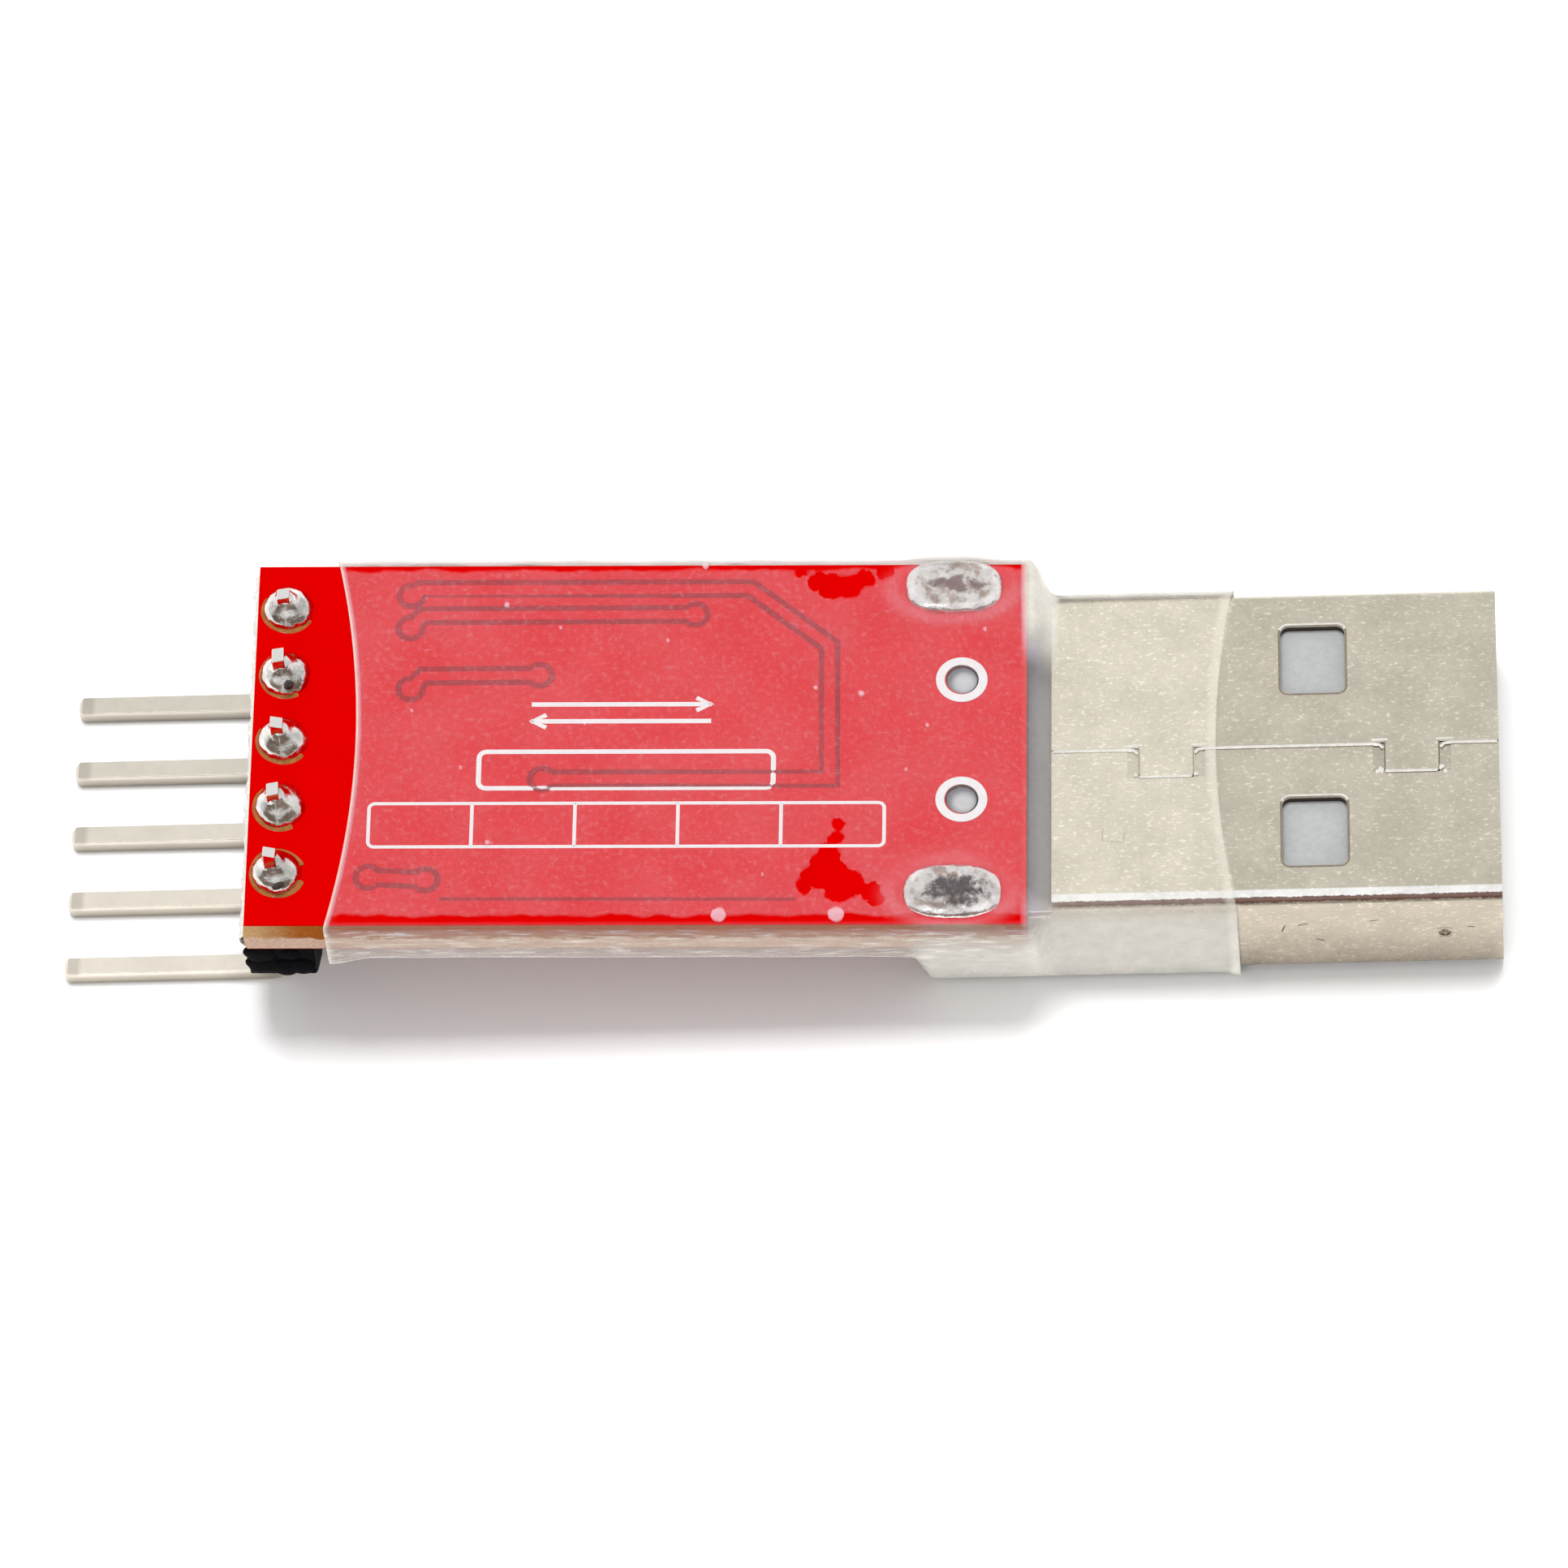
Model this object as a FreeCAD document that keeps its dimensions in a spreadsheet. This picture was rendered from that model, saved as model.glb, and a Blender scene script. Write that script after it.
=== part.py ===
import FreeCAD
import Part
import Sketcher
import math
import os

# Serial adapter module: a small circuit board in a clear shrunk sleeve, with a
# plug at one end and five bent header pins at the other. It lies solder side
# up on the plug and on the pins. Millimetres, +X towards the plug's tip,
# +Y to the far side, +Z up, origin at the bottom centre of the whole module.

PARTS_FOLDER = "parts"

# Driving dimensions
SIZES = {
    # circuit board, measured along its own faces
    "board_length": 25.8,
    "board_side": 0.915,
    "board_thickness": 1.6,
    "board_tilt": 2.47,
    "board_end_gap": 0.79,
    "score_depth": 0.06,
    "score_web": 0.4,
    # pin header
    "pin_count": 5,
    "pin_pitch": 2.54,
    "pin_width": 0.64,
    "pin_lead": 1.4,
    "pin_bend": 0.9,
    "pin_reach": 7.65,
    "pin_point": 0.14,
    "row_from_end": 1.04,
    "row_shift": 0.13,
    "pin_hole": 1.02,
    "strip_width": 2.48,
    "strip_height": 2.54,
    "strip_corner": 0.5,
    "stub_width": 2.2,
    "stub_depth": 0.35,
    "stub_bevel": 0.22,
    # solder
    "cone_radius": 0.8,
    "cone_height": 0.9,
    "cone_neck": 0.06,
    "cone_shoulder_radius": 0.74,
    "cone_shoulder_height": 0.18,
    "cone_waist_radius": 0.6,
    "cone_waist_height": 0.5,
    "blob_margin": 0.45,
    "blob_width": 2.03,
    "blob_height": 0.45,
    "blob_round": 0.36,
    # plug shell
    "shell_length": 18.8,
    "shell_width": 12.0,
    "shell_height": 4.5,
    "shell_wall": 0.3,
    "shell_corner": 0.45,
    "plug_shift": 0.15,
    "seat_drop": 0.7,
    "seam_gap": 0.05,
    "lock_width": 1.8,
    "lock_depth": 1.1,
    "front_lock_from_tip": 2.88,
    "rear_lock_from_tip": 11.04,
    "stake_width": 0.34,
    "stake_depth": 0.06,
    "window_length": 2.15,
    "window_width": 2.6,
    "window_spacing": 6.6,
    "window_from_tip": 6.13,
    "window_corner": 0.3,
    "tab_width": 2.4,
    "tab_from_rear": 0.68,
    "joint_to_board_end": 0.82,
    "tab_stand": 0.1,
    "tab_corner": 0.35,
    "slot_clearance": 0.2,
    "dimple_from_tip": 1.92,
    "dimple_radius": 0.22,
    "dimple_depth": 0.08,
    # plug insulator
    "hollow_depth": 12.0,
    "tongue_thickness": 1.9,
    "tongue_setback": 0.5,
    "tongue_clearance": 0.05,
    "tongue_nose": 0.4,
    "peg_diameter": 1.0,
    "peg_clearance": 0.06,
    "peg_spacing": 4.6,
    "peg_from_tab": 0.32,
    "peg_recess": 0.12,
    # plug contacts
    "contact_width": 1.0,
    "contact_thickness": 0.25,
    "contact_proud": 0.08,
    "inner_contact_spacing": 2.0,
    "outer_contact_spacing": 7.0,
    "inner_contact_setback": 2.2,
    "outer_contact_setback": 1.2,
    "riser_gap": 0.4,
    "contact_tail": 1.5,
    "contact_bend": 0.18,
    # shrunk sleeve
    "film_wall": 0.15,
    "film_gap": 0.05,
    "film_from_strip": 0.53,
    "film_from_tip": 8.66,
    "film_bow": 0.7,
    "film_lip": 0.3,
    "film_belly": 1.25,
    "film_belly_inset": 1.8,
    "film_blob_rise": 0.5,
    "film_blob_margin": 0.25,
    "film_ridge_inset": 0.1,
    "film_blob_slope": 1.0,
    "film_slope": 1.6,
    "film_step": 0.5,
    "film_board_corner": 0.12,
    "film_plug_corner": 0.3,
    # parts on the component side
    "chip_size": 5.0,
    "chip_height": 0.85,
    "chip_pads": 7,
    "chip_pad_pitch": 0.5,
    "chip_pad_width": 0.25,
    "chip_pad_length": 0.45,
    "chip_pad_height": 0.2,
    "chip_pad_stand": 0.03,
    "cap_inset": 0.03,
    "led_length": 2.0,
    "led_width": 1.25,
    "led_height": 0.8,
    "resistor_length": 1.6,
    "resistor_width": 0.8,
    "resistor_height": 0.45,
    "capacitor_length": 2.0,
    "capacitor_width": 1.25,
    "capacitor_height": 1.1,
    "fuse_length": 3.2,
    "fuse_width": 1.6,
    "fuse_height": 0.8,
    "end_cap_share": 0.2,
    "led_spacing": 4.0,
    "capacitor_spacing": 3.4,
    "part_gaps": 6,
    # room that a cutting outline keeps beyond the shape it cuts
    "cut_margin": 1.0,
}

# Places and lengths that follow from the driving dimensions
LAYOUT = {
    "board_width": "Sizes.shell_width + 2 * Sizes.board_side",
    "blob_length": "Sizes.tab_width + 2 * Sizes.blob_margin",
    "seat_length": "Sizes.tab_from_rear + Layout.blob_length / 2 + Sizes.joint_to_board_end"
    " + Sizes.board_end_gap",
    "seat_z": "Sizes.film_wall + Sizes.shell_height - Sizes.seat_drop",
    "shell_top": "Sizes.film_wall + Sizes.shell_height",
    "board_z": "Layout.seat_z + Sizes.board_length / 2 * sin(Sizes.board_tilt)"
    " + Sizes.board_thickness * cos(Sizes.board_tilt)",
    "row_local": "Sizes.row_from_end - Sizes.board_length / 2",
    "elbow_drop": "(Layout.board_z - Sizes.pin_width / 2) / cos(Sizes.board_tilt)"
    " - Layout.row_local * tan(Sizes.board_tilt)",
    "elbow_behind": "Layout.row_local * cos(Sizes.board_tilt) - Layout.elbow_drop * sin(Sizes.board_tilt)",
    "tip_x": "(Sizes.shell_length - Layout.seat_length + Sizes.board_end_gap"
    " + Sizes.board_length / 2 * cos(Sizes.board_tilt) - Layout.elbow_behind + Sizes.pin_reach) / 2",
    "rear_x": "Layout.tip_x - Sizes.shell_length",
    "edge_x": "Layout.rear_x + Layout.seat_length",
    "base_x": "Layout.tip_x - Sizes.hollow_depth",
    "board_x": "Layout.edge_x - Sizes.board_end_gap - Sizes.board_length / 2 * cos(Sizes.board_tilt)",
    "tab_x": "Layout.rear_x + Sizes.tab_from_rear",
    "peg_x": "Layout.tab_x + Sizes.peg_from_tab",
    "middle_shift": "Sizes.board_thickness / 2 * sin(Sizes.board_tilt)",
    "tab_local": "(Layout.tab_x + Layout.middle_shift - Layout.board_x) / cos(Sizes.board_tilt)",
    "peg_local": "(Layout.peg_x + Layout.middle_shift - Layout.board_x) / cos(Sizes.board_tilt)",
    "tail_local": "(Layout.rear_x - Sizes.riser_gap - Sizes.contact_thickness - Sizes.contact_tail"
    " - Layout.board_x) / cos(Sizes.board_tilt)",
    "strip_local": "Layout.row_local + Sizes.strip_width / 2",
    "part_gap": "(Layout.tail_local - Layout.strip_local - Sizes.led_width - Sizes.resistor_width"
    " - Sizes.chip_size - Sizes.capacitor_length - Sizes.fuse_width) / Sizes.part_gaps",
    "led_local": "Layout.strip_local + Layout.part_gap + Sizes.led_width / 2",
    "resistor_local": "Layout.led_local + Layout.part_gap + (Sizes.led_width + Sizes.resistor_width) / 2",
    "chip_local": "Layout.resistor_local + Layout.part_gap + (Sizes.resistor_width + Sizes.chip_size) / 2",
    "capacitor_local": "Layout.chip_local + Layout.part_gap"
    " + (Sizes.chip_size + Sizes.capacitor_length) / 2",
    "fuse_local": "Layout.capacitor_local + Layout.part_gap"
    " + (Sizes.capacitor_length + Sizes.fuse_width) / 2",
    "side_y": "(Sizes.shell_width - Sizes.shell_wall) / 2",
}


def new_document():
    """Open the document with the sheet of sizes and the set of derived places."""
    document = FreeCAD.newDocument("SerialAdapter")
    sheet = document.addObject("Spreadsheet::Sheet", "Sizes")
    for row, (name, value) in enumerate(SIZES.items(), start=1):
        sheet.set(f"A{row}", name)
        sheet.set(f"B{row}", str(value))
        sheet.setAlias(f"B{row}", name)
    document.recompute()
    layout = document.addObject("App::VarSet", "Layout")
    for name in LAYOUT:
        layout.addProperty("App::PropertyFloat", name)
    for name, expression in LAYOUT.items():
        layout.setExpression(name, expression)
        document.recompute()
    return document


def number(holder, expression):
    """Value of an expression as a plain number."""
    value = holder.evalExpression(expression)
    return float(getattr(value, "Value", value))


def origin_plane(body, role):
    """One of a body's own origin planes."""
    return next(plane for plane in body.Origin.OriginFeatures if plane.Role == role)


def new_body(document, label):
    """Start a sub-part with its own label."""
    body = document.addObject("PartDesign::Body", "Body_" + label)
    body.Label = label
    return body


def add_sketch(body, role, height="0"):
    """Sketch on an origin plane, moved along the plane's normal."""
    sketch = body.newObject("Sketcher::SketchObject", body.Label + "_sketch")
    sketch.AttachmentSupport = [(origin_plane(body, role), "")]
    sketch.MapMode = "FlatFace"
    sketch.setExpression("AttachmentOffset.Base.z", height)
    return sketch


def bind(sketch, kind, geometry, point, expression):
    """Tie one coordinate of a point, measured from the sketch's origin, to an expression."""
    value = number(sketch, expression)
    index = sketch.addConstraint(Sketcher.Constraint(kind, -1, 1, geometry, point, value))
    sketch.setExpression(f"Constraints[{index}]", expression)


def add_polygon(sketch, corners):
    """Closed outline through corners given as pairs of expressions."""
    places = [FreeCAD.Vector(number(sketch, across), number(sketch, along), 0) for across, along in corners]
    first = sketch.GeometryCount
    count = len(corners)
    for index, place in enumerate(places):
        sketch.addGeometry(Part.LineSegment(place, places[(index + 1) % count]))
    for index in range(count):
        following = first + (index + 1) % count
        sketch.addConstraint(Sketcher.Constraint("Coincident", first + index, 2, following, 1))
    for index, (across, along) in enumerate(corners):
        bind(sketch, "DistanceX", first + index, 1, across)
        bind(sketch, "DistanceY", first + index, 1, along)


def add_rectangle(sketch, left, right, bottom, top):
    """Closed rectangle between four expressions."""
    add_polygon(sketch, [(left, bottom), (right, bottom), (right, top), (left, top)])


def add_circle(sketch, across, along, radius):
    """Circle with its centre and radius given as expressions."""
    centre = FreeCAD.Vector(number(sketch, across), number(sketch, along), 0)
    size = number(sketch, radius)
    circle = sketch.addGeometry(Part.Circle(centre, FreeCAD.Vector(0, 0, 1), size))
    bind(sketch, "DistanceX", circle, 3, across)
    bind(sketch, "DistanceY", circle, 3, along)
    index = sketch.addConstraint(Sketcher.Constraint("Radius", circle, size))
    sketch.setExpression(f"Constraints[{index}]", radius)


def add_feature(body, kind, sketch, **settings):
    """PartDesign feature on a profile; text settings are bound as expressions."""
    feature = body.newObject("PartDesign::" + kind, body.Label + "_" + kind)
    feature.Profile = sketch
    for name, value in settings.items():
        if isinstance(value, str) and name in ("Length", "TaperAngle"):
            feature.setExpression(name, value)
        else:
            setattr(feature, name, value)
    sketch.Visibility = False
    return feature


def dress_edges(body, kind, size, chosen):
    """Fillet or chamfer the edges of the body's shape that a test chooses."""
    body.Document.recompute()
    base = body.Tip
    names = [f"Edge{index}" for index, edge in enumerate(base.Shape.Edges, start=1) if chosen(edge)]
    feature = body.newObject("PartDesign::" + kind, body.Label + "_" + kind)
    feature.Base = (base, names)
    feature.setExpression("Radius" if kind == "Fillet" else "Size", size)
    return feature


def place_on_board(holder, along, across, above):
    """Place a sub-part by its point in the tilted board's own frame."""
    holder.Placement = FreeCAD.Placement(FreeCAD.Vector(), FreeCAD.Rotation(FreeCAD.Vector(0, 1, 0), 1))
    tilt = "Sizes.board_tilt"
    holder.setExpression("Placement.Rotation.Angle", tilt)
    holder.setExpression(
        "Placement.Base.x", f"Layout.board_x + ({along}) * cos({tilt}) + ({above}) * sin({tilt})"
    )
    holder.setExpression("Placement.Base.y", across)
    holder.setExpression(
        "Placement.Base.z", f"Layout.board_z - ({along}) * sin({tilt}) + ({above}) * cos({tilt})"
    )


def is_parallel(edge, axis):
    """True for a straight edge along an axis."""
    if not isinstance(edge.Curve, (Part.Line, Part.LineSegment)):
        return False
    direction = edge.Vertexes[1].Point - edge.Vertexes[0].Point
    return direction.Length > 0 and direction.normalize().cross(axis).Length < 1e-6


Y_AXIS = FreeCAD.Vector(0, 1, 0)
Z_AXIS = FreeCAD.Vector(0, 0, 1)


def pin_place(index):
    """Sideways place of one header pin as an expression, counted from the far side."""
    return f"Sizes.row_shift + (({SIZES['pin_count']} - 1) / 2 - {index}) * Sizes.pin_pitch"


def make_circuit_board(document):
    """Board with scored, snapped edges, pin holes, peg holes and slots for the shell's tabs."""
    body = new_body(document, "circuit_board")
    bevel = "(Sizes.board_thickness - Sizes.score_web) / 2"
    half_length = "(Sizes.board_length / 2 + Sizes.score_depth)"
    half_width = "(Layout.board_width / 2 + Sizes.score_depth)"

    def outline(height):
        sketch = add_sketch(body, "XY_Plane", height)
        add_rectangle(sketch, "-" + half_length, half_length, "-" + half_width, half_width)
        return sketch

    taper = f"-atan(Sizes.score_depth / ({bevel}))"
    add_feature(body, "Pad", outline(f"-{bevel}"), Length="Sizes.score_web", Reversed=True)
    add_feature(body, "Pad", outline(f"-{bevel}"), Length=bevel, TaperAngle=taper)
    lower = outline(f"-{bevel} - Sizes.score_web")
    add_feature(body, "Pad", lower, Length=bevel, TaperAngle=taper, Reversed=True)

    holes = add_sketch(body, "XY_Plane")
    for index in range(SIZES["pin_count"]):
        add_circle(holes, "Layout.row_local", pin_place(index), "Sizes.pin_hole / 2")
    for side in ("-", "+"):
        across = f"Sizes.plug_shift {side} Sizes.peg_spacing / 2"
        add_circle(holes, "Layout.peg_local", across, "Sizes.peg_diameter / 2 + Sizes.peg_clearance")
        slot = f"Sizes.plug_shift {side} Layout.side_y"
        half = "(Sizes.tab_width / 2 + Sizes.slot_clearance)"
        half_slot = "(Sizes.shell_wall / 2 + Sizes.slot_clearance)"
        add_rectangle(
            holes,
            f"Layout.tab_local - {half}",
            f"Layout.tab_local + {half}",
            f"{slot} - {half_slot}",
            f"{slot} + {half_slot}",
        )
    add_feature(body, "Pocket", holes, Type="ThroughAll")
    place_on_board(body, "0", "0", "0")
    return body


def make_header_strip(document):
    """Moulded strip of octagonal cells with a square hole per pin and a stub where it was snapped."""
    body = new_body(document, "header_strip")
    half = "Sizes.pin_pitch / 2"
    side = "Sizes.strip_width / 2"
    corner = "Sizes.strip_corner"
    cell = add_sketch(body, "XY_Plane", "-Sizes.board_thickness")
    first = f"({pin_place(SIZES['pin_count'] - 1)})"
    add_polygon(
        cell,
        [
            (f"-{side} + {corner}", f"{first} - {half}"),
            (f"{side} - {corner}", f"{first} - {half}"),
            (side, f"{first} - {half} + {corner}"),
            (side, f"{first} + {half} - {corner}"),
            (f"{side} - {corner}", f"{first} + {half}"),
            (f"-{side} + {corner}", f"{first} + {half}"),
            (f"-{side}", f"{first} + {half} - {corner}"),
            (f"-{side}", f"{first} - {half} + {corner}"),
        ],
    )
    pin = "Sizes.pin_width / 2"
    add_rectangle(cell, f"-{pin}", pin, f"{first} - {pin}", f"{first} + {pin}")
    pad = add_feature(body, "Pad", cell, Length="Sizes.strip_height", Reversed=True)
    stub = add_sketch(body, "XY_Plane", "-Sizes.board_thickness")
    face = "Sizes.stub_width / 2"
    end = f"{first} - {half} - Sizes.stub_depth"
    shoulder = f"{first} - {half} + {corner}"
    add_polygon(stub, [(f"-{face}", end), (face, end), (side, shoulder), (f"-{side}", shoulder)])
    add_feature(body, "Pad", stub, Length="Sizes.strip_height", Reversed=True)
    body.Document.recompute()
    box = body.Tip.Shape.BoundBox
    bevel = number(stub, "Sizes.stub_bevel")

    def at_foot(edge):
        low = max(vertex.Z for vertex in edge.Vertexes) < box.ZMin + bevel
        return low and max(vertex.Y for vertex in edge.Vertexes) < box.YMin + bevel

    dress_edges(body, "Chamfer", "Sizes.stub_bevel", at_foot)

    row = body.newObject("PartDesign::LinearPattern", "header_cells")
    row.Originals = [pad]
    row.Direction = (cell, ["V_Axis"])
    row.Occurrences = SIZES["pin_count"]
    row.setExpression("Length", f"({SIZES['pin_count']} - 1) * Sizes.pin_pitch")
    body.Tip = row
    place_on_board(body, "Layout.row_local", "0", "0")
    return body


def make_header_pin(document, index):
    """Square pin through board and strip, bent outward below the strip to lie level."""
    body = new_body(document, f"header_pin_{index + 1}")
    half = "Sizes.pin_width / 2"
    section = add_sketch(body, "XY_Plane", "Sizes.pin_lead")
    add_rectangle(section, f"-{half}", half, f"-{half}", half)

    path = add_sketch(body, "XZ_Plane")
    tilt = "Sizes.board_tilt"
    setback = f"(Sizes.pin_bend * tan((90 - {tilt}) / 2))"
    lead = "Sizes.pin_lead"
    upper = ("0", f"-Layout.elbow_drop + {setback}")
    lower = (f"-{setback} * cos({tilt})", f"-Layout.elbow_drop - {setback} * sin({tilt})")
    end = (f"-Sizes.pin_reach * cos({tilt})", f"-Layout.elbow_drop - Sizes.pin_reach * sin({tilt})")
    centre = ("-Sizes.pin_bend", upper[1])

    def point(pair):
        return FreeCAD.Vector(number(path, pair[0]), number(path, pair[1]), 0)

    middle = point(centre)
    radius = number(path, "Sizes.pin_bend")
    turn = math.radians(number(path, f"90 - {tilt}"))
    path.addGeometry(Part.LineSegment(point(("0", lead)), point(upper)))
    path.addGeometry(Part.ArcOfCircle(Part.Circle(middle, Z_AXIS, radius), -turn, 0))
    path.addGeometry(Part.LineSegment(point(lower), point(end)))
    path.addConstraint(Sketcher.Constraint("Coincident", 0, 2, 1, 2))
    path.addConstraint(Sketcher.Constraint("Coincident", 2, 1, 1, 1))
    bind(path, "DistanceX", 0, 1, "0")
    bind(path, "DistanceY", 0, 1, lead)
    bind(path, "DistanceX", 0, 2, upper[0])
    bind(path, "DistanceY", 0, 2, upper[1])
    bind(path, "DistanceX", 1, 3, centre[0])
    bind(path, "DistanceY", 1, 3, centre[1])
    bind(path, "DistanceX", 2, 1, lower[0])
    bind(path, "DistanceX", 2, 2, end[0])
    bind(path, "DistanceY", 2, 2, end[1])

    pipe = body.newObject("PartDesign::AdditivePipe", body.Label + "_pipe")
    pipe.Profile = section
    pipe.Spine = path
    body.Document.recompute()
    box = pipe.Shape.BoundBox
    point_size = number(path, "Sizes.pin_point")

    def at_end(edge):
        low = max(vertex.X for vertex in edge.Vertexes) < box.XMin + point_size
        high = min(vertex.Z for vertex in edge.Vertexes) > box.ZMax - point_size
        return low or high

    dress_edges(body, "Chamfer", "Sizes.pin_point", at_end)
    place_on_board(body, "Layout.row_local", pin_place(index), "0")
    return body


def make_header_solder(document, index):
    """Joint that fills the plated hole and climbs the pin as a hollow cone."""
    body = new_body(document, f"header_solder_{index + 1}")
    neck = "(Sizes.pin_width / 2 * sqrt(2) + Sizes.cone_neck)"
    profile = add_sketch(body, "XZ_Plane")
    add_polygon(
        profile,
        [
            ("0", "-Sizes.board_thickness"),
            ("Sizes.pin_hole / 2", "-Sizes.board_thickness"),
            ("Sizes.pin_hole / 2", "0"),
            ("Sizes.cone_radius", "0"),
            ("Sizes.cone_shoulder_radius", "Sizes.cone_shoulder_height"),
            ("Sizes.cone_waist_radius", "Sizes.cone_waist_height"),
            (neck, "Sizes.cone_height"),
            ("0", "Sizes.cone_height"),
        ],
    )
    turned = add_feature(body, "Revolution", profile, Angle=360.0)
    turned.ReferenceAxis = (profile, ["V_Axis"])
    pin = add_sketch(body, "XY_Plane", "Sizes.cone_height")
    half = "Sizes.pin_width / 2"
    add_rectangle(pin, f"-{half}", half, f"-{half}", half)
    add_feature(body, "Pocket", pin, Type="ThroughAll")
    place_on_board(body, "Layout.row_local", pin_place(index), "0")
    return body


def place_in_plug(body, across="0"):
    """Place a sub-part on the plug's middle plane, moved sideways by an expression."""
    body.setExpression("Placement.Base.y", f"Sizes.plug_shift + {across}")


def add_rounded_section(sketch, inset):
    """Rounded rectangle of the plug's section, moved inward by an expression."""
    half = f"(Sizes.shell_width / 2 - {inset})"
    bottom = f"(Sizes.film_wall + {inset})"
    top = f"(Layout.shell_top - {inset})"
    add_rounded_rectangle(sketch, f"-{half}", half, bottom, top, f"(Sizes.shell_corner - {inset})")


def add_rounded_rectangle(sketch, left, right, bottom, top, radius):
    """Rectangle with tangent corner arcs, bound to expressions."""
    x0, x1, y0, y1, bend = (number(sketch, text) for text in (left, right, bottom, top, radius))
    first = sketch.GeometryCount
    vector = FreeCAD.Vector
    quarter = math.pi / 2
    lines = [
        (vector(x0 + bend, y0, 0), vector(x1 - bend, y0, 0)),
        (vector(x1, y0 + bend, 0), vector(x1, y1 - bend, 0)),
        (vector(x1 - bend, y1, 0), vector(x0 + bend, y1, 0)),
        (vector(x0, y1 - bend, 0), vector(x0, y0 + bend, 0)),
    ]
    centres = [
        vector(x1 - bend, y0 + bend, 0),
        vector(x1 - bend, y1 - bend, 0),
        vector(x0 + bend, y1 - bend, 0),
        vector(x0 + bend, y0 + bend, 0),
    ]
    for start, end in lines:
        sketch.addGeometry(Part.LineSegment(start, end))
    for index, centre in enumerate(centres):
        circle = Part.Circle(centre, Z_AXIS, bend)
        sketch.addGeometry(Part.ArcOfCircle(circle, (index - 1) * quarter, index * quarter))
    for index in range(4):
        arc = first + 4 + index
        sketch.addConstraint(Sketcher.Constraint("Tangent", first + index, 2, arc, 1))
        sketch.addConstraint(Sketcher.Constraint("Tangent", first + (index + 1) % 4, 1, arc, 2))
    for index in (1, 2, 3):
        sketch.addConstraint(Sketcher.Constraint("Equal", first + 4, first + 4 + index))
    for index, kind in enumerate(("Horizontal", "Vertical", "Horizontal", "Vertical")):
        sketch.addConstraint(Sketcher.Constraint(kind, first + index))
    bind(sketch, "DistanceY", first, 1, bottom)
    bind(sketch, "DistanceX", first + 1, 1, right)
    bind(sketch, "DistanceY", first + 2, 1, top)
    bind(sketch, "DistanceX", first + 3, 1, left)
    index = sketch.addConstraint(Sketcher.Constraint("Radius", first + 4, bend))
    sketch.setExpression(f"Constraints[{index}]", radius)


def add_slot(sketch, length, width):
    """Outline with two straight sides and two half-round ends, centred on the origin."""
    reach = f"({length} - {width}) / 2"
    radius = f"{width} / 2"
    middle, size = number(sketch, reach), number(sketch, radius)
    vector = FreeCAD.Vector
    quarter = math.pi / 2
    right_end = Part.Circle(vector(middle, 0, 0), Z_AXIS, size)
    left_end = Part.Circle(vector(-middle, 0, 0), Z_AXIS, size)
    sketch.addGeometry(Part.LineSegment(vector(-middle, -size, 0), vector(middle, -size, 0)))
    sketch.addGeometry(Part.ArcOfCircle(right_end, -quarter, quarter))
    sketch.addGeometry(Part.LineSegment(vector(middle, size, 0), vector(-middle, size, 0)))
    sketch.addGeometry(Part.ArcOfCircle(left_end, quarter, 3 * quarter))
    for index in range(4):
        sketch.addConstraint(Sketcher.Constraint("Tangent", index, 2, (index + 1) % 4, 1))
    sketch.addConstraint(Sketcher.Constraint("Equal", 1, 3))
    for arc, sign in ((1, ""), (3, "-")):
        bind(sketch, "DistanceX", arc, 3, f"{sign}({reach})")
        bind(sketch, "DistanceY", arc, 3, "0")
    index = sketch.addConstraint(Sketcher.Constraint("Radius", 1, size))
    sketch.setExpression(f"Constraints[{index}]", radius)


def seam_outline():
    """Narrow gap along the middle of the top wall, stepping round two locking tongues."""
    gap = "Sizes.seam_gap / 2"
    tongues = ["Sizes.rear_lock_from_tip", "Sizes.front_lock_from_tip"]

    def edge(side):
        other = "+" if side == "-" else "-"
        corners = [("Layout.edge_x - Sizes.shell_wall", f"{side}{gap}")]
        for from_tip in tongues:
            start = f"Layout.tip_x - {from_tip} - Sizes.lock_width / 2 {side} {gap}"
            finish = f"Layout.tip_x - {from_tip} + Sizes.lock_width / 2 {other} {gap}"
            floor = f"-Sizes.lock_depth {side} {gap}"
            corners += [(start, f"{side}{gap}"), (start, floor), (finish, floor), (finish, f"{side}{gap}")]
        corners.append(("Layout.tip_x + Sizes.shell_wall", f"{side}{gap}"))
        return corners

    return edge("-") + edge("+")[::-1]


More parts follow.
